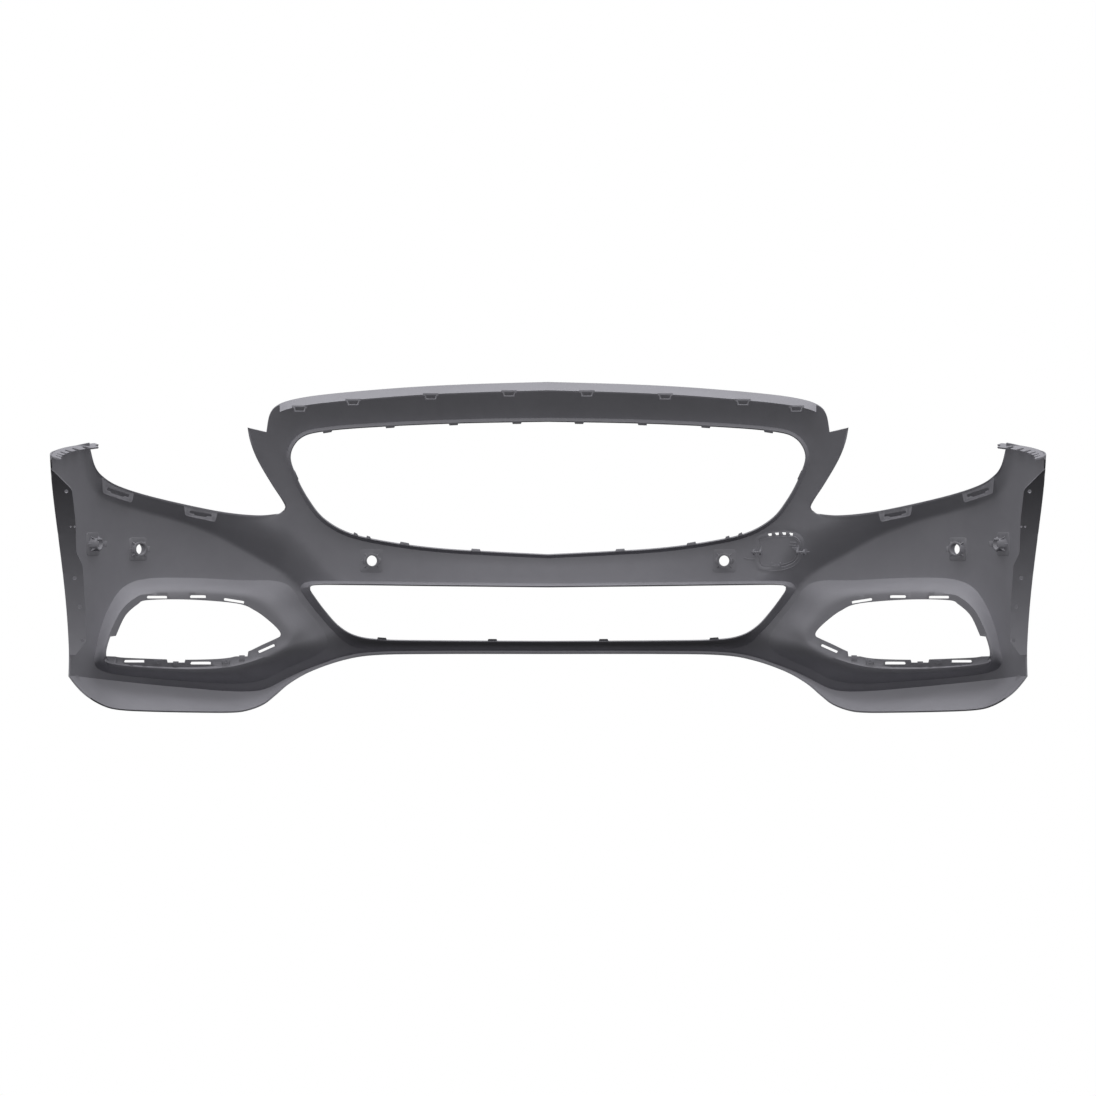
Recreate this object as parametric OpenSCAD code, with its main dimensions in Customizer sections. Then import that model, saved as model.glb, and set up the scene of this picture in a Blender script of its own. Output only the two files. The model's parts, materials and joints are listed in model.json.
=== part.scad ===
// Front bumper cover of a saloon car: one thin moulding with its flanges and clip features,
// six parking-sensor holders bonded to its back, and a towing-eye cover that tilts in its opening.
// Frame: +Y is the way the car drives, +X its right-hand side, +Z up. Millimetres.
// Origin: on the car's centre plane, at the lowest edge, halfway between the rear ends of the side walls
// and the front of the lip.

/* [Moulding] */
// Wall thickness of the moulding
wall = 3; // [2.6:0.1:3.4]
// Depth from the rear end of the side walls to the foremost point of the wings
depth = 560; // [520:5:600]
// How far the centre sits behind the wings
centre_step = 38; // [30:1:46]
// How far the lower lip stands in front of the wall above it
lip_reach = 34; // [24:1:40]
// How far the top leans back, per 100 mm of height squared
lean = 7.4; // [5:0.1:9]
// How far the crossbar tucks in towards the lower intake
tuck_in = 14; // [8:1:18]

/* [Openings] */
// Depth of the turned edge around the grille opening
grille_return = 16; // [12:1:20]
// Depth of the funnel around each lamp opening
lamp_depth = 55; // [45:1:62]
// Depth of the funnel around the lower air intake
intake_depth = 34; // [26:1:40]

/* [Wheel arch] */
// Radius of the wheel arch
arch_r = 380; // [372:1:388]
// Width of the flange turned in along the wheel arch
arch_flange_w = 36; // [30:1:40]
// Diameter of the screw holes in that flange
arch_hole_d = 7; // [5:0.5:8]

/* [Parking sensors] */
// Bore of a sensor holder
sensor_d = 19; // [17:0.5:20]
// Length of the holder's sleeve
sleeve_l = 11; // [10:1:16]

/* [Towing-eye cover] */
// Gap around the cover
cover_gap = 1.6; // [1.4:0.1:2.2]
// Diameter of the two pins it tilts on
pivot_d = 4; // [3.5:0.1:4.5]

/* [Hidden] */

primer = [0.36, 0.36, 0.38];
holder_black = [0.16, 0.16, 0.17];

plan_n = 2.6;          // exponent of the plan curve
plan_w = 888;          // half width that the feature lines are drawn on
nose_z = 250;          // height above which the cover leans back
shelf_w = 62;          // width of the shelf above the crease
lip_h = 52;            // height over which the lip flares forward
tuck_w = 430;          // half width of the stretch where the crossbar tucks in
tuck_top = 292;        // height at which it starts to tuck in, going down
tuck_z = 228;          // height at which it is tucked in most
tuck_low = 120;        // height below the intake at which it has come out again
top_z = 602;           // top row of the wall's grid, above the trimmed edge
arch_z = 140;          // height of the wheel's axis
seam_z = 456;          // height at which the wheel arch meets the rear end of the side wall
mid_y = (depth + lip_reach) / 2;   // the origin stands this far in front of the side walls' rear ends
arch_y = -mid_y - sqrt(arch_r * arch_r - pow(seam_z - arch_z, 2));
far = 1000;            // reach of a cutting tool
grille_border = 5.5;   // width of the turned border around the grille opening
trim = 0.65;           // how far outside its creases the wall is cut, for the funnels to fit in

// ---------- feature lines, as [distance from the centre plane, height] ----------

// Crease that runs from the headlamp's outer corner down to the corner of the lower intake
crease_points = [
  [0, 150], [250, 150], [350, 160], [410, 190], [452, 228], [482, 256], [530, 284], [593, 319],
  [658, 345], [735, 366], [787, 383], [814, 402], [829, 432], [838, 476], [860, 530], [888, 560]
];
// Crease of the lower lip
lip_points = [
  [0, 110], [200, 110], [316, 108], [372, 100], [411, 87], [449, 73], [482, 58], [514, 43], [545, 38],
  [594, 39], [644, 43], [723, 50], [800, 58], [860, 65], [888, 66]
];
// Lowest edge of the underside
under_points = [
  [0, 106], [200, 106], [310, 104], [368, 95], [426, 75], [465, 53], [490, 32], [512, 15], [541, 4],
  [570, 0.3], [627, 0.3], [714, 2], [771, 5], [800, 12], [828, 28], [850, 50], [888, 60]
];
// How far the underside reaches back from the lip
under_reach = [
  [0, 28], [300, 28], [370, 34], [430, 60], [490, 96], [560, 115], [720, 112], [800, 80], [860, 40], [888, 40]
];

// ---------- outlines seen along Y; a half outline runs clockwise from the top centre ----------

top_edge = [[0, 596], [140, 592], [258, 586], [388, 575], [452, 566], [486, 555], [501, 538], [507, 506]];
pillar_edge = [[541, 514], [536, 489], [523, 456], [498, 413], [479, 384], [473, 369], [484, 359]];
lamp_edge = [
  [484, 359], [520, 356], [570, 360], [627, 370], [714, 390], [771, 408], [800, 425], [816, 446], [826, 487]
];
seam_edge = [[826, 487], [868, 476], [900, 464]];

grille_hole = [
  [0, 524], [160, 521], [300, 515], [400, 507], [444, 495], [463, 464], [452, 425], [430, 384],
  [402, 350], [355, 324], [282, 308], [195, 297], [100, 291], [0, 286]
];
intake_crease = [
  [0, 231], [200, 233], [340, 235], [422, 235], [443, 227], [437, 212], [414, 182], [382, 146],
  [353, 124], [310, 118], [200, 117], [0, 117]
];
intake_hole = [
  [0, 226], [200, 228], [350, 230], [418, 230], [428, 224], [421, 211], [400, 183], [376, 157],
  [346, 140], [300, 133], [200, 131], [0, 130]
];
// The funnel around a lamp: its crease, the outer edge of the frame and the clear opening
lamp_crease = [
  [476, 232], [560, 237], [645, 241], [722, 240], [762, 227], [786, 198], [804, 155], [814, 112],
  [816, 86], [790, 74], [723, 66], [645, 60], [565, 56], [514, 62], [472, 82], [420, 106],
  [399, 126], [412, 154], [442, 192]
];
lamp_outer = [
  [520, 194], [560, 209], [645, 215], [722, 213], [747, 204], [769, 183], [785, 152], [796, 122],
  [798, 102], [788, 91], [723, 84], [645, 82], [578, 86], [536, 96], [505, 110], [480, 124],
  [472, 134], [475, 146], [494, 168]
];
lamp_hole = [
  [527, 184], [560, 197], [645, 204], [722, 203], [741, 195], [762, 176], [776, 148], [786, 121],
  [785, 108], [776, 101], [723, 98], [645, 96], [578, 99], [544, 109], [514, 123], [490, 134],
  [482, 139], [484, 148], [501, 165]
];
tow_hole = [
  [376, 315], [398, 323], [430, 325], [450, 320], [459, 308], [457, 290], [448, 272], [430, 262],
  [405, 258], [385, 259], [377, 267], [375, 282], [376, 300]
];

// ---------- curves ----------

function hermite(a, b, c, d, t) =
  0.5 * (2 * b + (c - a) * t + (2 * a - 5 * b + 4 * c - d) * t * t + (3 * b - a - 3 * c + d) * t * t * t);
// A smooth curve through the points, with n steps between each pair
function smooth(p, n) = let (last = len(p) - 1) [
  for (i = [0 : last - 1]) for (k = [0 : n - 1])
    hermite(p[max(i - 1, 0)], p[i], p[i + 1], p[min(i + 2, last)], k / n),
  p[last]
];
function smooth_loop(p, n) = let (m = len(p)) [
  for (i = [0 : m - 1]) for (k = [0 : n - 1])
    hermite(p[(i + m - 1) % m], p[i], p[(i + 1) % m], p[(i + 2) % m], k / n)
];
function flip(p) = [-p[0], p[1]];
// A half outline and its mirror image, as one loop that starts at the top centre
function both_halves(p) = let (last = len(p) - 1)
  concat([for (i = [0 : last]) p[i]], [for (i = [last - 1 : -1 : 1]) flip(p[i])]);
function loop_of(half, n) = both_halves(smooth(half, n));
function unit(v) = v / max(norm(v), 1e-9);

// The loop moved out by a distance, or in where it is negative. Loops run clockwise seen from behind
function outset(loop, by) = let (m = len(loop)) [for (j = [0 : m - 1]) let (
  along = unit(loop[(j + 1) % m] - loop[(j + m - 1) % m])
) loop[j] + [-along[1], along[0]] * by];

crease_line = smooth(crease_points, 4);
lip_line = smooth(lip_points, 4);
under_line = smooth(under_points, 4);

// ---------- the outer face ----------

function side_w(z) = 871.3 + 0.055 * z;
function nose_y(z) = depth - lean * pow(max(0, z - nose_z) / 100, 2);
function plan(r) = pow(max(0, 1 - pow(abs(r), plan_n)), 1 / plan_n);
// 0 up to u = 0, with a crease there, and level again from u = 1
function ease(u) = u <= 0 ? 0 : u >= 1 ? 1 : 1 - (1 - u) * (1 - u);
function crease_slope(x) = (lookup(x + 8, crease_line) - lookup(x - 8, crease_line)) / 16;
function crease_gap(x, z) = (z - lookup(x, crease_line)) / sqrt(1 + pow(crease_slope(x), 2));
function lip_flare(x, z) = lip_reach * (1 - ease((z - lookup(x, lip_line)) / lip_h));
function share(v, from, to) = min(1, max(0, (v - from) / (to - from)));
function tuck(x, z) = tuck_in * pow(max(0, 1 - pow(x / tuck_w, 2)), 2)
  * pow(share(z, tuck_top, tuck_z), 2) * share(z, tuck_low, tuck_z);
function features(x, z) = lip_flare(x, z) - centre_step * ease(crease_gap(x, z) / shelf_w) - tuck(x, z);
// The point of the outer face at r, the share of the half width, and height z
function skin_at(r, z) =
  [side_w(z) * r, (nose_y(z) + features(abs(r) * plan_w, z)) * plan(r) - mid_y, z];
function on_skin(x, z) = skin_at(x / side_w(z), z);
function skin_normal(x, z) = let (e = 4)
  unit(cross(on_skin(x + e, z) - on_skin(x - e, z), on_skin(x, z - e) - on_skin(x, z + e)));

// ---------- sheets ----------

function grid_normal(g, i, j, wrap) = let (
  rows = len(g), cols = len(g[0]),
  left = wrap ? (j + cols - 1) % cols : max(j - 1, 0),
  right = wrap ? (j + 1) % cols : min(j + 1, cols - 1)
) unit(cross(g[i][right] - g[i][left], g[min(i + 1, rows - 1)][j] - g[max(i - 1, 0)][j]));

// A closed solid of thickness t behind a grid of points. Rows run down and columns to +X on a front face.
module sheet(g, t = wall, wrap = false) {
  rows = len(g);
  cols = len(g[0]);
  back = rows * cols;
  steps = wrap ? cols : cols - 1;
  points = concat(
    [for (i = [0 : rows - 1]) for (j = [0 : cols - 1]) g[i][j]],
    [for (i = [0 : rows - 1]) for (j = [0 : cols - 1]) g[i][j] - t * grid_normal(g, i, j, wrap)]
  );
  function at(i, j) = i * cols + j % cols;
  walls = concat(
    [for (j = [0 : steps - 1]) [at(0, j), at(0, j + 1)]],
    [for (j = [0 : steps - 1]) [at(rows - 1, j + 1), at(rows - 1, j)]],
    wrap ? [] : [for (i = [0 : rows - 2]) [at(i + 1, 0), at(i, 0)]],
    wrap ? [] : [for (i = [0 : rows - 2]) [at(i, cols - 1), at(i + 1, cols - 1)]]
  );
  faces = concat(
    [for (i = [0 : rows - 2]) for (j = [0 : steps - 1]) each [
      [at(i, j), at(i + 1, j + 1), at(i, j + 1)], [at(i, j), at(i + 1, j), at(i + 1, j + 1)]]],
    [for (i = [0 : rows - 2]) for (j = [0 : steps - 1]) each [
      [back + at(i, j), back + at(i, j + 1), back + at(i + 1, j + 1)],
      [back + at(i, j), back + at(i + 1, j + 1), back + at(i + 1, j)]]],
    [for (w = walls) each [[w[0], w[1], w[1] + back], [w[0], w[1] + back, w[0] + back]]]
  );
  polyhedron(points, faces, convexity = 12);
}

// Prisms along Y
module along_y() {
  translate([0, far, 0]) rotate([90, 0, 0]) linear_extrude(2 * far) children();
}
module through(outline) { along_y() polygon(outline); }

// A wall that turns in from loop a, on the outer face, to loop b, back by depth d
function funnel_row(a, b, d, k) = [for (j = [0 : len(a) - 1]) let (
  p = a[j] + (b[j] - a[j]) * k,
  start = on_skin(a[j][0], a[j][1]),
  end = on_skin(b[j][0], b[j][1]) - [0, d, 0]
) [p[0], start[1] - 1 + (end[1] - start[1] + 1) * sin(90 * k), p[1]]];
module funnel_sheet(a, b, d, steps) {
  difference() {
    sheet([for (k = [0 : steps]) funnel_row(a, b, d, k / steps)], wrap = true);
    for (y = [0, wall * 0.8]) translate([0, y, 0]) skin_shell();
    wheel_space();
  }
}
module funnel(a, b, d, steps) { color(primer) one_mesh() funnel_sheet(a, b, d, steps); }
module intake_sheet() { funnel_sheet(intake_crease_loop, loop_of(intake_hole, 2), intake_depth, 2); }

// Leaves the size as it is and makes what it holds one mesh
module one_mesh() {
  resize([0, 0, 0]) children();
}

module mirrored() {
  children();
  mirror([1, 0, 0]) children();
}

// ---------- the moulding ----------

columns = [for (i = [-30 : 30]) let (s = abs(i) / 30)
  sign(i) * s / pow(pow(s, plan_n) + pow(1 - s, plan_n), 1 / plan_n)];
// Heights of the grid's rows, from the top down, close together beside the creases
function wall_rows(r) = let (
  x = abs(r) * plan_w,
  low = lookup(x, lip_line),
  mid = lookup(x, crease_line),
  shelf = min(shelf_w * sqrt(1 + pow(crease_slope(x), 2)), top_z - mid - 30),
  gap = mid - low - lip_h
) concat(
  [for (k = [1, 0.8, 0.6, 0.4, 0.22, 0.14, 0.08, 0.035]) mid + shelf + (top_z - mid - shelf) * k],
  [for (k = [1, 0.62, 0.36, 0.16, 0]) mid + shelf * k],
  gap > 24 ? [for (k = [1, 0.72, 0.46, 0.22, 0]) low + lip_h * k]
    : [for (k = [0.86, 0.66, 0.44, 0.22, 0]) low + (mid - low) * k]
);
wall_heights = [for (r = columns) wall_rows(r)];

module wall_sheet() {
  sheet([for (i = [0 : len(wall_heights[0]) - 1]) [
    for (j = [0 : len(columns) - 1]) skin_at(columns[j], wall_heights[j][i])]]);
}

function under_point(r, k) = let (
  x = abs(r) * plan_w,
  lip = skin_at(r, lookup(x, lip_line)),
  n = skin_normal(min(abs(lip[0]), 880) * sign(r), lip[2] + 60),
  end = lip - unit([n[0], n[1], 0]) * lookup(x, under_reach),
  low = lookup(abs(end[0]), under_line)
) [lip[0] + (end[0] - lip[0]) * k, lip[1] + (end[1] - lip[1]) * k, lip[2] + (low - lip[2]) * sin(90 * k)];
module underside_sheet() {
  sheet([for (k = [0 : 1 / 2 : 1]) [for (r = columns) under_point(r, k)]]);
}

kept_outline = both_halves(concat(
  smooth(top_edge, 2), smooth(pillar_edge, 2), smooth(lamp_edge, 2), seam_edge,
  [[far, 464], [far, -far], [0, -far]]
));
// Notches in the rear edge of the underside, below the lower intake
lip_notches = [77, 144];
notch = [18, 30, 30];
notch_y = 480;
grille_loop = loop_of(grille_hole, 2);
grille_crease_loop = outset(grille_loop, grille_border);
intake_crease_loop = loop_of(intake_crease, 2);
lamp_crease_loop = smooth_loop(lamp_crease, 2);
lamp_outer_loop = smooth_loop(lamp_outer, 2);

module wheel_space() {
  translate([-far, arch_y, arch_z]) rotate([0, 90, 0]) cylinder(r = arch_r, h = 2 * far, $fn = 180);
}

// The wall, the same on both sides of the centre plane
module whole_wall() {
  mirrored() intersection() {
    wall_sheet();
    translate([0, -far, -far]) cube(2 * far);
  }
}

// The wall and the underside, cut along the outline, the creases and the wheel arches
module skin_shell() {
  difference() {
    intersection() {
      union() {
        whole_wall();
        underside_sheet();
      }
      through(kept_outline);
    }
    through(outset(grille_crease_loop, trim));
    through(outset(intake_crease_loop, trim));
    mirrored() through(outset(lamp_crease_loop, trim));
    through(tow_loop);
    for (s = sensor_places) if (s[2]) sensor_frame(s) rotate([0, -s[3], 0])
      cylinder(d = sensor_d + 1.5, h = 40, center = true, $fn = 32);
    mirrored() for (x = lip_notches) translate([x - notch[0] / 2, notch_y - mid_y, 95]) cube(notch);
    wheel_space();
  }
}

module cover_skin() { color(primer) one_mesh() skin_shell(); }
module grille_surround() { funnel(grille_crease_loop, grille_loop, grille_return, 1); }
module intake_surround_right() {
  color(primer) one_mesh() intersection() {
    intake_sheet();
    translate([0, -far, -far]) cube(2 * far);
  }
}
module intake_surround_left() { mirror([1, 0, 0]) intake_surround_right(); }
module lamp_pocket_right() { funnel(lamp_crease_loop, lamp_outer_loop, lamp_depth, 3); }
module lamp_pocket_left() { mirror([1, 0, 0]) lamp_pocket_right(); }

// The strip along the top, which leans down towards the rear and narrows towards its ends
flange_end = 482;      // distance of its ends from the centre plane
flange_mid_w = 50;     // width at the middle
flange_taper = 26;     // how much narrower the ends are
flange_drop = 15;      // how far the rear edge lies below the front edge
edge_inset = 1.6;      // how far the front edge lies below the wall's top edge
function flange_edge(x) = on_skin(x, lookup(abs(x), smooth(top_edge, 3)) - edge_inset) - [0, wall * 0.6, 0];
function flange_w(x) = flange_mid_w - flange_taper * pow(abs(x) / flange_end, 3);
module upper_flange_sheet() {
  sheet([for (k = [1, 0.5, 0]) [for (t = [-1 : 1 / 16 : 1]) let (x = flange_end * t)
    flange_edge(x) - [0, flange_w(x), flange_drop] * k]]);
}
module upper_flange() {
  color(primer) one_mesh() difference() {
    upper_flange_sheet();
    skin_shell();
  }
}

// Slotted loops that hang from the rear edge of the upper flange
loop_places = [70, 211, 351, 447];
loop_top = [27, 6];    // width and height of the part on the flange
loop_low = [19, 10];   // width of the lower part, and the whole height
loop_slot = [17, 4.4];
loop_t = 2.4;
module upper_retaining_loops() {
  color(primer) one_mesh() difference() {
    mirrored() for (x = loop_places) retaining_loop(x);
    upper_flange_sheet();
  }
}
module retaining_loop(x) {
  n = skin_normal(x, 560);
  translate(flange_edge(x) - [0, flange_w(x), flange_drop - 1]) rotate([90, 0, -atan2(n[0], n[1])])
    linear_extrude(loop_t, center = true) difference() {
      union() {
        translate([-loop_top[0] / 2, -loop_top[1]]) square(loop_top);
        translate([-loop_low[0] / 2, -loop_low[1]]) square(loop_low);
        for (side = [-1, 1]) translate([side * loop_low[0] / 2, -loop_top[1]])
          circle((loop_top[0] - loop_low[0]) / 2, $fn = 32);
      }
      translate([0, -loop_low[1] / 2]) square(loop_slot, center = true);
    }
}

// ---------- along the wheel arch and the fender ----------

function side_x(y, z) = let (d = nose_y(z) + features(880, z)) side_w(z) * plan((y + mid_y) / d);
function arch_front(z) = arch_y + sqrt(arch_r * arch_r - pow(z - arch_z, 2));
arch_inner = [
  [889, 436], [857, 404], [851, 351], [849, 290], [838, 268], [833, 190], [832, 128], [850, 104]
];
arch_holes = [[867, 401], [852, 244], [843, 192], [838, 131]];

module arch_flange() {
  heights = [for (k = [0 : 12]) 104 + (445 - 104) * k / 12];
  color(primer) difference() {
    intersection() {
      through(concat(arch_inner, [for (z = heights) [side_x(arch_front(z), z) - wall - 2.3, z]]));
      translate([700, arch_y, arch_z]) rotate([0, 90, 0]) difference() {
        cylinder(r = arch_r + wall, h = 300, $fn = 180);
        translate([0, 0, -1]) cylinder(r = arch_r, h = 302, $fn = 180);
      }
      translate([700, -mid_y - 60, 0]) cube([300, 400, 600]);
    }
    for (p = arch_holes) translate([p[0], arch_front(p[1]), p[1]])
      rotate([-90 + asin((p[1] - arch_z) / arch_r), 0, 0])
        cylinder(d = arch_hole_d, h = 20, center = true, $fn = 48);
  }
}
module wheel_arch_flange_right() { arch_flange(); }
module wheel_arch_flange_left() { mirror([1, 0, 0]) arch_flange(); }

// A toothed strip turned in along the fender's seam
fender_seam = [[14, 462], [286, 484]];   // its ends, as [distance from the side wall's rear end, height]
fender_strip = [18, 4, 5];               // how far it reaches in, back and down
tooth_gap = [14, 15, 80];                // cutter for the gap between two teeth
tooth_pitch = 38;
module fender_flange() {
  function seam(k) = fender_seam[0] + (fender_seam[1] - fender_seam[0]) * k - [mid_y, 0];
  function rim(p) = [side_x(p[0], p[1]) - 2, p[0], p[1]];
  color(primer) one_mesh() difference() {
    sheet([for (reach = [1, 0]) [for (k = [0 : 1 / 8 : 1]) rim(seam(k)) - fender_strip * reach]]);
    skin_shell();
    for (i = [0 : 5]) let (y = fender_seam[0][0] + 30 + i * tooth_pitch - mid_y, z = 470)
      translate([side_x(y, z) - 20, y, z]) cube(tooth_gap, center = true);
  }
}
module fender_flange_right() { fender_flange(); }
module fender_flange_left() { mirror([1, 0, 0]) fender_flange(); }

// ---------- tabs under the headlamp ----------

// Each is a plate that hangs behind the headlamp's edge. Outlines of the plates
tab_outer = [[745, 396.5], [771, 406], [803, 425], [801, 395], [749, 378]];
tab_inner = [[594, 362.5], [656, 375], [653, 355], [599, 343.5]];
// Their stepped slots, as two slots that overlap, each [x, z, width, height, turn]
tab_outer_slots = [[774, 397, 41, 5, -18.6], [775, 395.6, 25, 7.5, -18.6]];
tab_inner_slots = [[625, 358.5, 39.6, 4.3, -9.6], [625.5, 357.2, 23, 6.8, -9.6]];
tab_back = 2;          // how far a plate's front stands behind the headlamp's edge
tab_corner = 4;        // radius of its corners
function lamp_edge_y(x) = on_skin(x, lookup(x, smooth(lamp_edge, 2)))[1];
module slot_cutters(slots) {
  for (s = slots) translate([s[0], 0, s[1]]) rotate([0, s[4], 0])
    cube([s[2], far, s[3]], center = true);
}
module headlamp_tab(outline, slots) {
  color(primer) one_mesh() difference() {
    intersection() {
      sheet([for (z = [450, 330]) [for (x = [585 : 15 : 810]) [x, lamp_edge_y(x) - tab_back, z]]]);
      along_y() offset(r = tab_corner) offset(delta = -tab_corner) polygon(outline);
    }
    slot_cutters(slots);
    skin_shell();
  }
}
module headlamp_tab_outer_right() { headlamp_tab(tab_outer, tab_outer_slots); }
module headlamp_tab_outer_left() { mirror([1, 0, 0]) headlamp_tab_outer_right(); }
module headlamp_tab_inner_right() { headlamp_tab(tab_inner, tab_inner_slots); }
module headlamp_tab_inner_left() { mirror([1, 0, 0]) headlamp_tab_inner_right(); }

// ---------- frames that carry the lamps' bezels ----------

// Slots as [x, z, width, height, turn], and gaps between the plates along the bottom as [x, z, width, height]
lamp_slots = [
  [705, 208.5, 38, 4.6, 0], [631, 209.5, 30, 4.8, 0], [566, 202, 38, 4.6, -9],
  [746, 93.5, 38, 4.6, 0], [626, 90, 38, 4.6, 0], [507, 116, 32, 4.6, 24]
];
lamp_gaps = [[670, 97, 33, 13], [551, 109, 22, 14], [796, 120, 34, 36]];
module lamp_frame() {
  inner = smooth_loop(lamp_hole, 2);
  color(primer) one_mesh() difference() {
    sheet([for (k = [0, 0.5, 1]) [for (j = [0 : len(inner) - 1]) let (
      p = lamp_outer_loop[j] + (inner[j] - lamp_outer_loop[j]) * k
    ) on_skin(p[0], p[1]) - [0, lamp_depth + wall * 1.02, 0]]], wrap = true);
    slot_cutters(lamp_slots);
    for (g = lamp_gaps) translate([g[0], 0, g[1]]) cube([g[2], far, g[3]], center = true);
  }
}
module lamp_frame_right() { lamp_frame(); }
module lamp_frame_left() { mirror([1, 0, 0]) lamp_frame(); }

// ---------- clip tabs around the openings ----------

// Each tab: distance from the centre plane, height of the opening's edge there, width
grille_tabs = [
  [56, 523.4, 18], [170, 520.8, 18], [284, 515.8, 18], [397, 507.4, 18], [130, 293, 18], [258, 304.2, 18],
  [335, 319.4, 12]
];
intake_tabs = [[100, 130.3, 18], [299, 132.8, 18]];
module clip_tabs(places, d) {
  for (t = places) {
    n = skin_normal(t[0], t[1]);
    down = t[1] > 400 ? -1.4 : 1.4;
    translate(on_skin(t[0], t[1]) - [0, d - 1, 0]) rotate([0, 0, -atan2(n[0], n[1])])
      translate([0, 0, down]) cube([t[2], 9, 3], center = true);
  }
}
module grille_clip_tabs() {
  color(primer) one_mesh() difference() {
    mirrored() clip_tabs(grille_tabs, grille_return);
    grille_surround();
  }
}
module intake_clip_tabs() {
  color(primer) one_mesh() difference() {
    mirrored() clip_tabs(intake_tabs, intake_depth);
    intake_sheet();
  }
}

// ---------- parking-sensor holders ----------

// Each sensor: distance from the centre plane, height, whether the skin is drilled for it,
// turn towards the front, and how far its flat base stands behind the curved wall
sensor_places = [
  [318, 274, true, 0, 1.4], [-318, 274, true, 0, 1.4], [740, 295, true, 16, 4.4], [-740, 295, true, -16, 4.4],
  [822, 304, false, 0, 4.5], [-822, 304, false, 0, 4.5]
];
// A frame on the outer face: +Z outwards, +Y downwards
module sensor_frame(s) {
  n = skin_normal(s[0], s[1]);
  translate(on_skin(s[0], s[1]))
    rotate([0, 0, -atan2(n[0], n[1])]) rotate([-90 + asin(n[2]), 0, 0]) children();
}
holder_base = [42, 42, 2];
holder_corner = 5;     // radius of the base's corners
sleeve_wall = 3;
arm = [3, 12];         // thickness and width of a spring arm
arm_reach = 6;         // how far the arms reach beyond the sleeve's middle
// A square base with rounded corners on the wall, and a sleeve with two spring arms on the sensor's own axis
module sensor_holder(s) {
  rear = -wall - s[4];
  corner = holder_base[0] / 2 - holder_corner;
  color(holder_black) sensor_frame(s) difference() {
    union() {
      translate([0, 0, rear - holder_base[2]]) linear_extrude(holder_base[2]) difference() {
        square(holder_base[0], center = true);
        for (a = [0 : 90 : 270]) rotate(a) translate([corner, corner]) difference() {
          square(holder_corner + 1);
          circle(holder_corner, $fn = 48);
        }
      }
      rotate([0, -s[3], 0]) translate([0, 0, rear - sleeve_l]) {
        cylinder(d = sensor_d + 2 * sleeve_wall, h = sleeve_l, $fn = 96);
        for (side = [-1, 1]) translate([side * (sensor_d / 2 + 4) - arm[0] / 2, -arm[1] / 2, -arm_reach])
          cube([arm[0], arm[1], sleeve_l]);
      }
    }
    translate([-50, -50, rear]) cube([100, 100, 60]);
    rotate([0, -s[3], 0]) translate([0, 0, -60]) cylinder(d = sensor_d, h = 80, $fn = 96);
    if (!s[2]) translate([-6, -20, -60]) cube([12, 20, 60 + rear - holder_base[2]]);
  }
}
module sensor_holder_inner_right() { sensor_holder(sensor_places[0]); }
module sensor_holder_inner_left() { sensor_holder(sensor_places[1]); }
module sensor_holder_outer_right() { sensor_holder(sensor_places[2]); }
module sensor_holder_outer_left() { sensor_holder(sensor_places[3]); }
module sensor_holder_side_right() { sensor_holder(sensor_places[4]); }
module sensor_holder_side_left() { sensor_holder(sensor_places[5]); }

// ---------- towing-eye cover ----------

// The pins' axis: centre of the opening's width, at the height of the hooks
pivot = [418, 290];
pivot_in = 12;      // how far the axis lies behind the outer face
// How far the outer face lies in front of the pivot's own plane, off to one side by x
function face_rise(x) = let (n = skin_normal(pivot[0], pivot[1]))
  (on_skin(pivot[0] + x * n[1], pivot[1]) - on_skin(pivot[0], pivot[1])) * n;
tow_loop = smooth_loop(tow_hole, 2);
top_slots = [397, 410, 423, 436];   // left ends of the four slots along the cover's top edge
flap = [-5, 2];        // the cover's flange and the ledge reach from here to here of the opening's edge
hook_x = 34;           // the cover's hooks, the pins and the brackets, by their distance from the middle
pin_x = 38.5;
pin_l = 13;
bracket_x = 46;
module pivot_post(x, w, l, stop) {
  translate([x - w / 2, -l / 2, -pivot_in - l / 2]) cube([w, l, pivot_in + l / 2 + face_rise(x) - stop]);
}

module tow_cover_pivots() {
  color(primer) {
    one_mesh() difference() {
      sensor_frame(pivot) for (side = [-1, 1]) pivot_post(side * bracket_x, 3, 10, wall - 0.2);
      skin_shell();
    }
    sensor_frame(pivot) for (side = [-1, 1]) translate([side * pin_x, 0, -pivot_in]) rotate([0, 90, 0])
      cylinder(d = pivot_d, h = pin_l, center = true, $fn = 48);
  }
}
// A strip along the opening's edge, between two distances from it, set back into the moulding
module tow_strip(from, to, back) {
  difference() {
    intersection() {
      translate([0, -back, 0]) whole_wall();
      through(outset(tow_loop, to));
    }
    through(outset(tow_loop, from));
  }
}
// The ledge behind the cover's lower half, which stops it from swinging in there
module tow_cover_seat() {
  color(primer) one_mesh() difference() {
    intersection() {
      union() {
        tow_strip(flap[0], flap[1] + 0.5, wall + 0.5);
        tow_strip(0.2, flap[1] + 0.5, wall * 0.6);
      }
      translate([300, -far, 200]) cube([200, 2 * far, pivot[1] - 6 - 200]);
    }
    skin_shell();
  }
}
// The cover: a panel, a flange that reaches behind the wall above the pins, and two hooks
module tow_eye_cover() {
  color(primer) {
    one_mesh() difference() {
      union() {
        intersection() {
          whole_wall();
          through(outset(tow_loop, -cover_gap));
        }
        intersection() {
          union() {
            tow_strip(flap[0], flap[1], wall + 0.5);
            tow_strip(flap[0], -cover_gap - 0.4, wall * 0.6);
          }
          translate([300, -far, pivot[1] + 8]) cube([200, 2 * far, 200]);
        }
      }
      for (x = top_slots) translate([x, -far, 318]) cube([6, 2 * far, 20]);
    }
    sensor_frame(pivot) difference() {
      for (side = [-1, 1]) pivot_post(side * hook_x, 3.5, 9, wall * 0.6);
      translate([-50, 0, -pivot_in]) rotate([0, 90, 0]) cylinder(d = pivot_d + 0.1, h = 100, $fn = 48);
    }
  }
}

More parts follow.
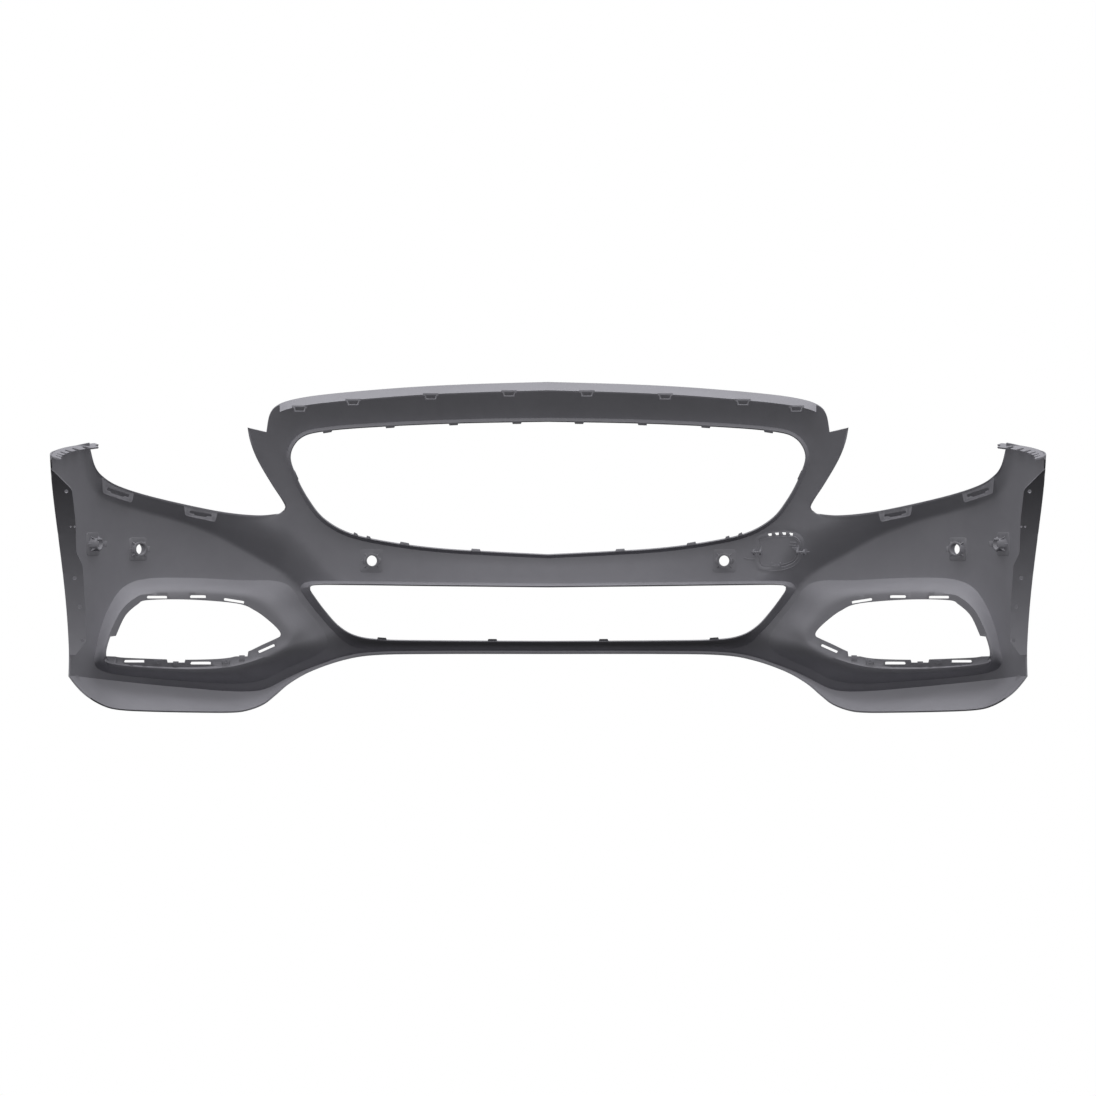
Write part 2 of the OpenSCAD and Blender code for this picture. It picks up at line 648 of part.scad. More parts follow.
cover_skin();
grille_surround();
intake_surround_left();
intake_surround_right();
lamp_pocket_left();
lamp_pocket_right();
upper_flange();
upper_retaining_loops();
wheel_arch_flange_left();
wheel_arch_flange_right();
fender_flange_left();
fender_flange_right();
headlamp_tab_outer_left();
headlamp_tab_outer_right();
headlamp_tab_inner_left();
headlamp_tab_inner_right();
lamp_frame_left();
lamp_frame_right();
grille_clip_tabs();
intake_clip_tabs();
sensor_holder_inner_left();
sensor_holder_inner_right();
sensor_holder_outer_left();
sensor_holder_outer_right();
sensor_holder_side_left();
sensor_holder_side_right();
tow_cover_pivots();
tow_cover_seat();
tow_eye_cover();
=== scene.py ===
"""Looks of the front bumper cover: the moulding, its sensor holders and its towing-eye cover.

Outlines are in millimetres, as [distance from the centre plane, height], and meshes in metres.
"""
import json
import math

import bmesh
import bpy
import numpy as np
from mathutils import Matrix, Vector
from mathutils.geometry import delaunay_2d_cdt
from mathutils.kdtree import KDTree


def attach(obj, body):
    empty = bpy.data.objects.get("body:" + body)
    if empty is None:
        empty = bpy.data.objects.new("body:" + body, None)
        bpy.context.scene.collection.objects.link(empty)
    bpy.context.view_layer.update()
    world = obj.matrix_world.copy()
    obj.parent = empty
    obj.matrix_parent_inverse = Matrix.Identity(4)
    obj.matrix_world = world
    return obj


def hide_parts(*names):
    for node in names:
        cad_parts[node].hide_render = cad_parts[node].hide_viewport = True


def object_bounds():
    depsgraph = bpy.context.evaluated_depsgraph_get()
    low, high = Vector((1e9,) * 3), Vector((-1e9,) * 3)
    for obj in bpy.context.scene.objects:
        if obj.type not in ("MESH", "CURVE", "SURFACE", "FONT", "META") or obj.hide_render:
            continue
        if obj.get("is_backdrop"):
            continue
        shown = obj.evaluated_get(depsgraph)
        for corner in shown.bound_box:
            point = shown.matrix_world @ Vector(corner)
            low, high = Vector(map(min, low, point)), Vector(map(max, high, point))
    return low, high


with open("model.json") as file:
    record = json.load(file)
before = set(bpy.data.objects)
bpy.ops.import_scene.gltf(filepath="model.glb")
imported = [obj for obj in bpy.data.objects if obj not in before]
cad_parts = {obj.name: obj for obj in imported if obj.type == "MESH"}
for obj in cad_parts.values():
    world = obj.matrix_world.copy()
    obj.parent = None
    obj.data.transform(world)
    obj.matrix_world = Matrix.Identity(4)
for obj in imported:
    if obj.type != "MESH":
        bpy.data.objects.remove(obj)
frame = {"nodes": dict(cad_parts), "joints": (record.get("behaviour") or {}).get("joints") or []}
cad_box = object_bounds()

MM = 0.001
WALL = 2.8            # thickness of the moulding
PLAN_N = 2.6          # exponent of the plan curve
PLAN_W = 888          # half width that the feature lines are drawn on
DEPTH = 560           # from the side walls' rear ends to the foremost point of the wings
LIP_REACH = 34        # how far the lower lip stands in front of the wall above it
MID_Y = (DEPTH + LIP_REACH) / 2
CENTRE_STEP = 38      # how far the centre sits behind the wings
LEAN = 7.4            # how far the top leans back, per 100 mm of height squared
NOSE_Z = 250          # height above which it leans back
SHELF_W = 62          # width of the shelf above the crease
LIP_H = 52            # height over which the lip flares forward
EASE = 1.55           # how quickly the shelves level out: 2 all the way, 1 not before their ends
LIP_EDGE = 0.02       # how much of the lip's flare its rounded edge takes
TUCK_IN = 18          # how far the crossbar tucks in towards the lower intake
TUCK_W = 430          # half width of the stretch where it does
TUCK_Z = 228          # height at which it is tucked in most
TUCK_LOW = 120        # height below the intake at which it has come out again
TOP_Z = 602
ARCH_R, ARCH_Z, SEAM_Z = 380, 140, 456
SEAM_LOW = 464        # lower end of the fender's seam
FLANGE_W, FLANGE_TAPER, FLANGE_DROP, FLANGE_END = 50, 26, 15, 482
GRILLE_BORDER = 5.5   # width of the turned border around the grille's opening
GRILLE_DEPTH, INTAKE_DEPTH, LAMP_DEPTH = 16, 34, 55
CORNER_R = 2.5        # radius of the corner where the wall turns in around an opening
ARCH_Y = -MID_Y - math.sqrt(ARCH_R ** 2 - (SEAM_Z - ARCH_Z) ** 2)
ALONG = 1200          # scale of the along-the-plan coordinate, which makes it close to millimetres
GRAIN = 7             # spacing of the moulding's mesh

# ---------- feature lines and outlines ----------

CREASE = [
    [0, 150], [250, 150], [350, 160], [410, 190], [452, 228], [482, 256], [530, 284], [593, 319],
    [658, 345], [735, 366], [787, 383], [814, 402], [829, 432], [838, 476], [860, 530], [888, 560]]
LIP = [
    [0, 110], [200, 110], [316, 108], [372, 100], [411, 87], [449, 73], [482, 58], [514, 43], [545, 38],
    [594, 39], [644, 43], [723, 50], [800, 58], [860, 65], [888, 66]]
UNDER = [
    [0, 106], [200, 106], [310, 104], [368, 95], [426, 75], [465, 53], [490, 32], [512, 15], [541, 4],
    [570, 0.3], [627, 0.3], [714, 2], [771, 5], [800, 12], [828, 28], [850, 50], [888, 60]]
UNDER_REACH = [
    [0, 28], [300, 28], [370, 34], [430, 60], [490, 96], [560, 115], [720, 112], [800, 80],
    [860, 40], [888, 40]]
TOP_EDGE = [[0, 596], [140, 592], [258, 586], [388, 575], [452, 566], [486, 555], [501, 538], [507, 506]]
PILLAR_EDGE = [[541, 514], [536, 489], [523, 456], [498, 413], [479, 384], [473, 369], [484, 359]]
LAMP_EDGE = [
    [484, 359], [520, 356], [570, 360], [627, 370], [714, 390], [771, 408], [800, 425], [816, 446],
    [826, 487]]
SEAM_EDGE = [[826, 487], [868, 476], [896.8, SEAM_LOW]]
GRILLE_HOLE = [
    [0, 524], [160, 521], [300, 515], [400, 507], [444, 495], [463, 464], [452, 425], [430, 384],
    [402, 350], [355, 324], [282, 308], [195, 297], [100, 291], [0, 286]]
GRILLE_LOW = GRILLE_HOLE[:6:-1]
INTAKE_CREASE = [
    [0, 231], [200, 233], [350, 235], [424, 235], [443, 227], [437, 212], [414, 182], [382, 146],
    [353, 124], [310, 118], [200, 117], [0, 117]]
INTAKE_HOLE = [
    [0, 226], [200, 228], [350, 230], [418, 230], [428, 224], [421, 211], [400, 183], [376, 157],
    [346, 140], [300, 133], [200, 131], [0, 130]]
LAMP_CREASE = [
    [476, 232], [560, 237], [645, 241], [722, 240], [762, 227], [786, 198], [804, 155], [814, 112],
    [816, 86], [790, 74], [723, 66], [645, 60], [565, 56], [514, 62], [472, 82], [420, 106],
    [399, 126], [412, 154], [442, 192]]
LAMP_OUTER = [
    [520, 194], [560, 209], [645, 215], [722, 213], [747, 204], [769, 183], [785, 152], [796, 122],
    [798, 102], [788, 91], [723, 84], [645, 82], [578, 86], [536, 96], [505, 110], [480, 124],
    [472, 134], [475, 146], [494, 168]]
LAMP_HOLE = [
    [527, 184], [560, 197], [645, 204], [722, 203], [741, 195], [762, 176], [776, 148], [786, 121],
    [785, 108], [776, 101], [723, 98], [645, 96], [578, 99], [544, 109], [514, 123], [490, 134],
    [482, 139], [484, 148], [501, 165]]
TOW_HOLE = [
    [376, 315], [398, 323], [430, 325], [450, 320], [459, 308], [457, 290], [448, 272], [430, 262],
    [405, 258], [385, 259], [377, 267], [375, 282], [376, 300]]
ARCH_INNER = [
    [889, 436], [857, 404], [851, 351], [849, 290], [838, 268], [833, 190], [832, 128], [850, 104]]
# Holes along the wheel arch as [x, height, radius]
ARCH_HOLES = [
    [867, 401, 3.5], [859, 337, 1.8], [852, 337, 1.8], [852, 244, 3.5], [843, 192, 3.5], [838, 131, 3.5]]
# Slots of a lamp's frame as [x, height, width, height of the slot, turn in degrees]
LAMP_SLOTS = [
    [705, 208.5, 38, 4.6, 0], [631, 209.5, 30, 4.8, 0], [566, 202, 38, 4.6, 9],
    [746, 93.5, 38, 4.6, 0], [626, 90, 38, 4.6, 0], [507, 116, 32, 4.6, -24]]
# Gaps between the plates along the bottom of that frame as [left, right, lower edge], and its open outer side
LAMP_GAPS = [[654, 686, 91], [540, 562, 102]]
LAMP_OPEN = [102, 138]
# Sensors as [x, height], how far their sleeves start behind the wall, and their turn towards the front
SENSORS = {"inner": [318, 274], "outer": [740, 295], "side": [822, 304]}
SENSOR_BACK = {"inner": 1.4, "outer": 4.4, "side": 4.5}
SENSOR_TURN = {"inner": 0, "outer": 16, "side": 0}
SENSOR_D = 19


# ---------- curves ----------

def hermite(a, b, c, d, t):
    square, cube = 2 * a - 5 * b + 4 * c - d, 3 * b - a - 3 * c + d
    return 0.5 * (2 * b + (c - a) * t + square * t ** 2 + cube * t ** 3)


def smooth(points, steps=8):
    """A smooth curve through the points."""
    p = np.array(points, float)
    last = len(p) - 1
    out = [hermite(p[max(i - 1, 0)], p[i], p[i + 1], p[min(i + 2, last)], k / steps)
           for i in range(last) for k in range(steps)]
    return np.array(out + [p[last]])


def smooth_loop(points, steps=8):
    p = np.array(points, float)
    m = len(p)
    return np.array([hermite(p[i - 1], p[i], p[(i + 1) % m], p[(i + 2) % m], k / steps)
                     for i in range(m) for k in range(steps)])


def half_loop(half, steps=8):
    """A half outline, clockwise from the top centre, and its mirror image as one loop."""
    p = smooth(half, steps)
    return np.vstack([p, p[-2:0:-1] * [-1, 1]])


def outset(loop, by):
    along = np.roll(loop, -1, 0) - np.roll(loop, 1, 0)
    along /= np.linalg.norm(along, axis=1)[:, None]
    return loop + np.stack([-along[:, 1], along[:, 0]], 1) * by


def flip(p):
    """The mirror image of a loop, in the same turning direction."""
    return (np.array(p) * [-1, 1])[::-1]


def lengths(q):
    """The distance along a line of points to each of them."""
    return np.concatenate([[0], np.cumsum(np.linalg.norm(np.diff(q, axis=0), axis=1))])


def even(points, spacing, measure=None, closed=False):
    """The points again at an even spacing, measured on the points that measure() gives for them."""
    p = np.vstack([points, points[:1]]) if closed else np.array(points, float)
    reach = lengths(measure(p) if measure else p)
    n = max(2, int(round(reach[-1] / spacing)))
    at = np.linspace(0, reach[-1], n + 1)
    out = np.stack([np.interp(at, reach, p[:, k]) for k in range(p.shape[1])], 1)
    return out[:-1] if closed else out


CREASE_LINE, LIP_LINE, UNDER_LINE = smooth(CREASE), smooth(LIP), smooth(UNDER)


def at(x, line):
    line = np.asarray(line)
    return np.interp(x, line[:, 0], line[:, 1])


# ---------- the outer face ----------

def side_w(z):
    return 871.3 + 0.055 * z


def ease(u, edge=0.07):
    """0 below the crease at u = 0, which is rounded over 2 * edge, and level again from u = 1."""
    u = np.asarray(u, float)
    top, slope = 1 - (1 - edge) ** EASE, EASE * (1 - edge) ** (EASE - 1)
    rise = top * (np.clip(u + edge, 0, None) / (2 * edge)) ** (2 * edge * slope / top)
    return np.where(u < edge, rise, 1 - (1 - np.clip(u, 0, 1)) ** EASE)


def crease_slope(x):
    return (at(x + 8, CREASE_LINE) - at(x - 8, CREASE_LINE)) / 16


def tuck(x, z):
    """The crossbar tucks in from the grille's lower edge to the intake, most at the centre."""
    bell = np.clip(1 - (x / TUCK_W) ** 2, 0, 1) ** 1.5
    top = at(x, GRILLE_LOW) + 4
    down = np.clip((top - z) / (top - TUCK_Z), 0, 1)
    back_out = np.clip((z - TUCK_LOW) / (TUCK_Z - TUCK_LOW), 0, 1)
    return TUCK_IN * bell * (down - down ** 2 / 4) * back_out


def forward(share, z):
    """How far the outer face stands in front of the side walls' ends, before the plan curve."""
    x = np.abs(share) * PLAN_W
    gap = (z - at(x, CREASE_LINE)) / np.sqrt(1 + crease_slope(x) ** 2)
    lean = LEAN * (np.maximum(0, z - NOSE_Z) / 100) ** 2
    flare = LIP_REACH * (1 - ease((z - at(x, LIP_LINE)) / LIP_H, LIP_EDGE))
    return DEPTH - lean + flare - CENTRE_STEP * ease(gap / SHELF_W) - tuck(x, z)


def shares(s):
    """The plan curve's two shares, of the half width and of the depth, at s = -1 to 1 along it."""
    a = np.clip(np.abs(s), 0, 1)
    size = (a ** PLAN_N + (1 - a) ** PLAN_N) ** (1 / PLAN_N)
    return np.sign(s) * a / size, (1 - a) / size


def skin(s, z):
    s, z = np.asarray(s, float), np.asarray(z, float)
    across, fore = shares(s)
    return np.stack([side_w(z) * across, forward(across, z) * fore - MID_Y, z], -1)


def along(x, z):
    """The place along the plan curve of a point seen at x, z."""
    share = np.clip(np.abs(x) / side_w(np.asarray(z, float)), 0, 1)
    q = share / np.maximum((1 - share ** PLAN_N), 1e-12) ** (1 / PLAN_N)
    return np.sign(x) * q / (1 + q)


def skin_xz(p):
    p = np.asarray(p, float)
    return skin(along(p[..., 0], p[..., 1]), p[..., 1])


def normals_xz(p, e=3.0):
    p = np.asarray(p, float)
    across = skin_xz(p + [e, 0]) - skin_xz(p - [e, 0])
    up = skin_xz(p + [0, e]) - skin_xz(p - [0, e])
    n = np.cross(up, across)
    return n / np.linalg.norm(n, axis=-1)[..., None]


def arch_front(z):
    return ARCH_Y + np.sqrt(ARCH_R ** 2 - (np.asarray(z, float) - ARCH_Z) ** 2)


def along_at_depth(y, z):
    """The place along the plan curve, on the side wall, of a point at depth y and height z."""
    fore = np.clip((y + MID_Y) / forward(0.985, z), 0, 1)
    share = (1 - fore ** PLAN_N) ** (1 / PLAN_N)
    return share / (share + fore)


# ---------- mesh helpers ----------

class Sheet:
    """Faces of an open sheet, gathered in millimetres and welded where they meet."""

    def __init__(self):
        self.points, self.faces, self.count = [], [], 0

    def add(self, points, faces):
        self.points.append(np.asarray(points, float))
        self.faces += [tuple(int(i) + self.count for i in f) for f in faces]
        self.count += len(points)

    def strip(self, rows, closed=False):
        """Quads between rows of points of the same length."""
        rows = np.array(rows)
        n, m = rows.shape[:2]
        steps = m if closed else m - 1
        faces = []
        for i in range(n - 1):
            low, high = i * m, (i + 1) * m
            faces += [(low + j, low + (j + 1) % m, high + (j + 1) % m, high + j) for j in range(steps)]
        self.add(rows.reshape(-1, 3), faces)

    def patch(self, outline, holes, seeds, to_3d):
        """A triangulated patch of a flat domain: its outline, holes, and points within it."""
        loops = [np.asarray(outline, float)] + [np.asarray(h, float) for h in holes]
        rim = np.vstack(loops)
        tree = KDTree(len(rim))
        for i, p in enumerate(rim):
            tree.insert((p[0], p[1], 0), i)
        tree.balance()
        seeds = np.asarray(seeds, float).reshape(-1, 2)
        if len(seeds):
            seeds = seeds[inside(seeds, loops)]
            keep = [tree.find((p[0], p[1], 0))[2] > 0.55 * GRAIN for p in seeds]
            seeds = seeds[np.array(keep, bool)] if len(seeds) else seeds
        flat, tris = triangulated(loops, seeds)
        self.add(to_3d(flat), tris)


def triangulated(loops, seeds=()):
    """Triangles between a loop and the loops within it, through the seeds."""
    edges, start = [], 0
    for loop in loops:
        m = len(loop)
        edges += [(start + i, start + (i + 1) % m) for i in range(m)]
        start += m
    points = np.vstack([np.vstack(loops), np.asarray(seeds, float).reshape(-1, 2)])
    out = delaunay_2d_cdt([Vector(p) for p in points], edges, [], 0, 1e-5)
    flat = np.array([tuple(v) for v in out[0]])
    tris = np.array([f for f in out[2] if len(f) == 3])
    return flat, tris[inside(flat[tris].mean(1), loops)]


def inside(points, loops):
    """Which points lie inside the first loop and outside the others, by the even-odd rule."""
    hit = np.zeros(len(points), bool)
    for loop in loops:
        a, b = loop, np.roll(loop, -1, 0)
        for (ax, az), (bx, bz) in zip(a, b):
            if az == bz:
                continue
            cross = ((az > points[:, 1]) != (bz > points[:, 1])) & (
                points[:, 0] < (bx - ax) * (points[:, 1] - az) / (bz - az) + ax)
            hit ^= cross
    return hit


def mesh_object(name, points, faces):
    mesh = bpy.data.meshes.new(name)
    mesh.from_pydata([tuple(p) for p in np.asarray(points) * MM], [], faces)
    obj = bpy.data.objects.new(name, mesh)
    bpy.context.scene.collection.objects.link(obj)
    return obj


def sheet_object(name, sheet, front_hint):
    """A welded, thickened object of the sheet. front_hint is a point that its outer side faces."""
    obj = mesh_object(name, np.vstack(sheet.points), sheet.faces)
    bm = bmesh.new()
    bm.from_mesh(obj.data)
    bmesh.ops.remove_doubles(bm, verts=bm.verts, dist=0.05 * MM)
    bmesh.ops.dissolve_degenerate(bm, edges=bm.edges, dist=0.01 * MM)
    bmesh.ops.recalc_face_normals(bm, faces=bm.faces)
    hint = Vector(front_hint) * MM
    near = min(bm.faces, key=lambda f: (f.calc_center_median() - hint).length)
    if near.normal.dot(hint - near.calc_center_median()) < 0:
        bmesh.ops.reverse_faces(bm, faces=bm.faces)
    bm.to_mesh(obj.data)
    bm.free()
    solid = obj.modifiers.new("wall", "SOLIDIFY")
    solid.thickness, solid.offset, solid.use_rim = WALL * MM, -1, True
    return finished(obj, 38)


def finished(obj, sharp):
    """The object with its modifiers applied, and smooth up to that angle in degrees."""
    graph = bpy.context.evaluated_depsgraph_get()
    mesh = bpy.data.meshes.new_from_object(obj.evaluated_get(graph))
    obj.modifiers.clear()
    obj.data = mesh
    mesh.shade_smooth()
    mesh.set_sharp_from_angle(angle=math.radians(sharp))
    return obj


# ---------- the moulding's wall ----------

def wall_heights(x):
    """Heights of the mesh's rows at x, close together beside the creases."""
    low, mid = at(x, LIP_LINE), at(x, CREASE_LINE)
    shelf = min(SHELF_W * math.hypot(1, crease_slope(x)), TOP_Z - mid - 30)
    rows = [mid + shelf * k for k in (-0.1, -0.05, 0, 0.05, 0.1, 0.17, 0.26, 0.36, 0.48, 0.6, 0.74, 0.88, 1)]
    rows += list(np.arange(mid + shelf + GRAIN, TOP_Z + 20, GRAIN * 1.15))
    rows += [low + LIP_H * k for k in (0.08, 0.2, 0.34, 0.48, 0.62, 0.8, 1)]
    rows += list(np.arange(low + LIP_H + GRAIN, mid - 0.1 * shelf - 3, GRAIN * 1.15))
    rows = sorted(r for r in rows if low < r)
    out = [rows[0]]
    for r in rows[1:]:
        if r - out[-1] > 2.2:
            out.append(r)
    return out


def domain(p):
    """Along and height, as the flat domain that the wall is meshed in."""
    p = np.asarray(p, float)
    return np.stack([along(p[..., 0], p[..., 1]) * ALONG, p[..., 1]], -1)


def from_domain(q):
    return skin(q[..., 0] / ALONG, q[..., 1])


def rim_chains():
    """The right half of the wall's rim in the domain, as chains from the top centre to the lip's centre."""
    top = domain(smooth(TOP_EDGE))
    flange_end = np.searchsorted(top[:, 0], domain([FLANGE_END, 560])[0])
    arch_z = np.linspace(SEAM_Z, 65.2, 60)    # down to the lip's outer end
    arch = np.stack([along_at_depth(arch_front(arch_z), arch_z) * ALONG, arch_z], 1)
    corner = from_domain(arch[-1])[0]
    lip_x = np.linspace(PLAN_W * corner / side_w(65), 0, 300)
    lip = np.stack([along(lip_x / PLAN_W * side_w(at(lip_x, LIP_LINE)), at(lip_x, LIP_LINE)) * ALONG,
                    at(lip_x, LIP_LINE)], 1)
    arch[-1] = lip[0]
    chains = {
        "top": top[:flange_end + 1], "shoulder": top[flange_end:], "notch": [top[-1], domain(PILLAR_EDGE[0])],
        "pillar": domain(smooth(PILLAR_EDGE)), "lamp": domain(smooth(LAMP_EDGE)),
        "seam": domain(np.array(SEAM_EDGE)), "heel": [[ALONG, SEAM_LOW], arch[0]], "arch": arch, "lip": lip}
    chains["seam"][-1] = [ALONG, SEAM_LOW]
    return {k: even(np.array(v), GRAIN * 0.8, from_domain) for k, v in chains.items()}


def bent(start, corner, end, t):
    """A point of the curve from start to end that a corner pulls towards itself."""
    return (1 - t) ** 2 * start + 2 * t * (1 - t) * corner + t ** 2 * end


def rounded_turn(sheet, crease, end, depth, radius, rows):
    """The wall's edge turned in: a rounded corner from the outer face, then a wall to the loop end."""
    start = skin_xz(outset(crease, radius))
    corner = skin_xz(crease)
    tail = skin_xz(end) - [0, depth, 0]

    def bowed(k):
        """The wall's own curve, straight back from the corner and then in towards the opening."""
        flat = corner + (tail - corner) * k
        flat[:, 1] = corner[:, 1] + (tail[:, 1] - corner[:, 1]) * math.sin(math.pi / 2 * k)
        return flat

    reach = min(0.3, radius / max(1, np.linalg.norm(tail - corner, axis=1).mean()))
    toward = bowed(reach)
    bend = [bent(start, corner, toward, t) for t in np.linspace(0, 1, 6)]
    wall = [bowed(reach + (1 - reach) * k / rows) for k in range(1, rows + 1)]
    sheet.strip(bend + wall, closed=True)


def build_moulding():
    sheet = Sheet()
    chains = rim_chains()
    right = np.vstack([c[:-1] for c in chains.values()])
    left = (right[1:] * [-1, 1])[::-1]
    rim = np.vstack([right, chains["lip"][-1:], left])

    openings = []

    def opening(crease, end, depth, rows):
        crease = even(crease, GRAIN * 0.8, skin_xz, closed=True)
        end = matched(crease, np.roll(end, -int(np.argmin(((end - crease[0]) ** 2).sum(1))), 0))
        rounded_turn(sheet, crease, end, depth, CORNER_R, rows)
        openings.append(domain(outset(crease, CORNER_R)))
        return end

    grille = half_loop(GRILLE_HOLE)
    opening(outset(grille, GRILLE_BORDER), grille, GRILLE_DEPTH, 3)
    opening(half_loop(INTAKE_CREASE), half_loop(INTAKE_HOLE), INTAKE_DEPTH, 5)
    crease, outer = smooth_loop(LAMP_CREASE), smooth_loop(LAMP_OUTER)
    for side, ends in ((1, (crease, outer)), (-1, (flip(crease), flip(outer)))):
        lamp_frame(sheet, opening(*ends, LAMP_DEPTH, 8), side)
    tow = even(smooth_loop(TOW_HOLE), 4, skin_xz, closed=True)
    openings.append(domain(tow))
    sheet.strip([skin_xz(tow), skin_xz(tow) - [0, 5, 0]], closed=True)
    for name in ("inner", "outer"):
        for side in (1, -1):
            openings.append(domain(sensor_hole(name) * [side, 1]))

    seeds = []
    for u in np.arange(-ALONG + GRAIN, ALONG, GRAIN):
        share, _ = shares(u / ALONG)
        x = abs(float(share)) * PLAN_W
        seeds += [(u, z) for z in wall_heights(x)]
    sheet.patch(rim, openings, seeds, from_domain)

    underside(sheet, chains["lip"])
    top_flange(sheet, chains["top"])
    for side in (1, -1):
        arch_flange(sheet, side)
        fender_flange(sheet, side)
        lamp_edge_return(sheet, chains, side)
    return sheet_object("cover_moulding", sheet, (0, 900, 260))


def matched(crease, end):
    """Points of the loop end at the same share of its length as the crease's points of theirs."""
    crease, end = [np.vstack([p, p[:1]]) for p in (crease, end)]
    a, b = [lengths(p) / lengths(p)[-1] for p in (crease, end)]
    return np.stack([np.interp(a[:-1], b, end[:, k]) for k in (0, 1)], 1)


def sensor_hole(name):
    """The drilled hole of a sensor on the right-hand side, as seen from behind."""
    middle = np.array(SENSORS[name], float)
    u, v, w = turned_axes(*middle, SENSOR_TURN[name])
    face = normals_xz(middle)
    ring = circle(SENSOR_D / 2 + 0.7, n=32) @ [u, v]
    ring -= w * (ring @ face / (w @ face))[:, None]
    return middle + ring[:, [0, 2]]


def cos_sin(degrees):
    angle = math.radians(degrees)
    return math.cos(angle), math.sin(angle)


def turned_axes(x, z, turn=0.0):
    """Axes on the outer face: to the right as seen from behind, up, and out, turned towards the front."""
    w = normals_xz(np.array([x, z], float))
    u = np.array([w[1], -w[0], 0]) / math.hypot(w[0], w[1])
    v = np.cross(u, w)
    c, s = cos_sin(turn)
    return u * c + w * s, v, w * c - u * s


def underside(sheet, lip):
    """The underside, from the lip back to its rear edge, both halves."""
    front = from_domain(lip)
    x = np.abs(shares(lip[:, 0] / ALONG)[0]) * PLAN_W
    n = normals_xz(np.stack([np.minimum(front[:, 0], 880), front[:, 2] + 60], 1))
    n[:, 2] = 0
    n /= np.linalg.norm(n, axis=1)[:, None]
    rear = front - n * at(x, UNDER_REACH)[:, None]
    rear[:, 2] = at(np.abs(rear[:, 0]), UNDER_LINE)
    rear[:, 1] = np.maximum(rear[:, 1], arch_front(rear[:, 2]))
    rows = []
    for k in np.linspace(0, 1, 7):
        row = front + (rear - front) * k
        row[:, 2] = front[:, 2] + (rear[:, 2] - front[:, 2]) * (1.4 * k - 0.4 * k * k)
        rows.append(row)
    rows = np.array(rows)
    sheet.strip(rows)
    sheet.strip(rows * [-1, 1, 1])


def flange_w(x):
    return FLANGE_W - FLANGE_TAPER * (x / FLANGE_END) ** 3


def top_flange(sheet, top):
    """The flange along the top edge, which drops a little towards the rear."""
    front = from_domain(top)
    back = flange_w(np.abs(front[:, 0]))
    rows = np.array([front] * 6)
    for row, k in zip(rows, np.linspace(0, 1, 6)):
        row[:, 1] -= back * k
        row[:, 2] -= FLANGE_DROP * k ** 1.2
    sheet.strip(rows)
    sheet.strip(rows * [-1, 1, 1])


def side_x(y, z):
    return side_w(z) * shares(along_at_depth(y, z))[0]


def arch_flange(sheet, side):
    """The flange turned in along the wheel arch, with its screw holes."""
    zs = np.linspace(104, 441, 50)
    outer = np.stack([side_x(arch_front(zs), zs), zs], 1)
    outline = np.vstack([even(ARCH_INNER, 6), even(outer, 6)])
    holes = [circle(r, (x, z), 20) for x, z, r in ARCH_HOLES]
    seeds = [(x, z) for z in np.arange(110, 436, 8) for x in np.arange(836, 892, 8)]
    sheet.patch(outline, holes, seeds, lambda p: np.stack([side * p[:, 0], arch_front(p[:, 1]), p[:, 1]], 1))


def fender_flange(sheet, side):
    """The toothed strip turned in along the fender's seam."""
    reach, drop, length, first = 19, 6, 276, 12
    teeth = []
    for y in np.arange(first, length, 38):
        tooth = [[y, reach], [y + 22, reach], [y + 25, reach * 0.45], [y + 35, reach * 0.45]]
        teeth += [[min(a, length), b] for a, b in tooth]
    outline = np.array([[0, 0]] + [[0, reach]] + teeth + [[length, 0]], float)
    outline = even(outline, 4, closed=True)

    def place(p):
        y = first + p[:, 0] - MID_Y
        z = 463 + (486 - 463) * p[:, 0] / length
        x = side_x(y, z) - 1.2 - p[:, 1]
        return np.stack([side * x, y - p[:, 1] * 0.2, z - drop * p[:, 1] / reach], 1)

    seeds = [(a, b) for a in np.arange(4, length, 7) for b in (6, 12)]
    sheet.patch(outline, [], seeds, place)


def lamp_edge_return(sheet, chains, side):
    """A short return along the headlamp opening."""
    for name, deep in (("pillar", 9), ("lamp", 7)):
        rim = from_domain(chains[name])
        fade = np.minimum(1, np.minimum(np.arange(len(rim)), np.arange(len(rim))[::-1]) / 6)[:, None]
        rows = np.array([rim - np.array([0, deep, 0.6]) * k * fade for k in (0, 0.5, 1)])
        rows[:, :, 0] *= side
        sheet.strip(rows)


def lamp_frame(sheet, outer, side):
    """The slotted frame around a lamp opening, from the end of its pocket inwards."""
    edge, hole = [even(smooth_loop(p), 1.5, closed=True) for p in (LAMP_OUTER, LAMP_HOLE)]
    for left, right, low in LAMP_GAPS:
        gap = (hole[:, 0] > left) & (hole[:, 0] < right) & (hole[:, 1] < 140)
        hole[gap, 1] = low
    outside = edge[(edge[:, 0] > 760) & (edge[:, 1] > 96)]
    open_side = (hole[:, 0] > 760) & (hole[:, 1] > LAMP_OPEN[0]) & (hole[:, 1] < LAMP_OPEN[1])
    hole[open_side, 0] = at(hole[open_side, 1], outside[np.argsort(outside[:, 1]), ::-1]) - 1
    slots = []
    for x, z, w, h, turn in LAMP_SLOTS:
        c, s = cos_sin(turn)
        corners = rect(-w / 2, -h / 2, w / 2, h / 2)
        slots.append(even(corners @ [[c, s], [-s, c]] + [x, z], 4, closed=True))
    loops = [loop * [side, 1] for loop in [hole] + slots]
    sheet.patch(outer, loops, [], lambda p: skin_xz(p) - [0, LAMP_DEPTH, 0])


# ---------- solids with hard edges ----------

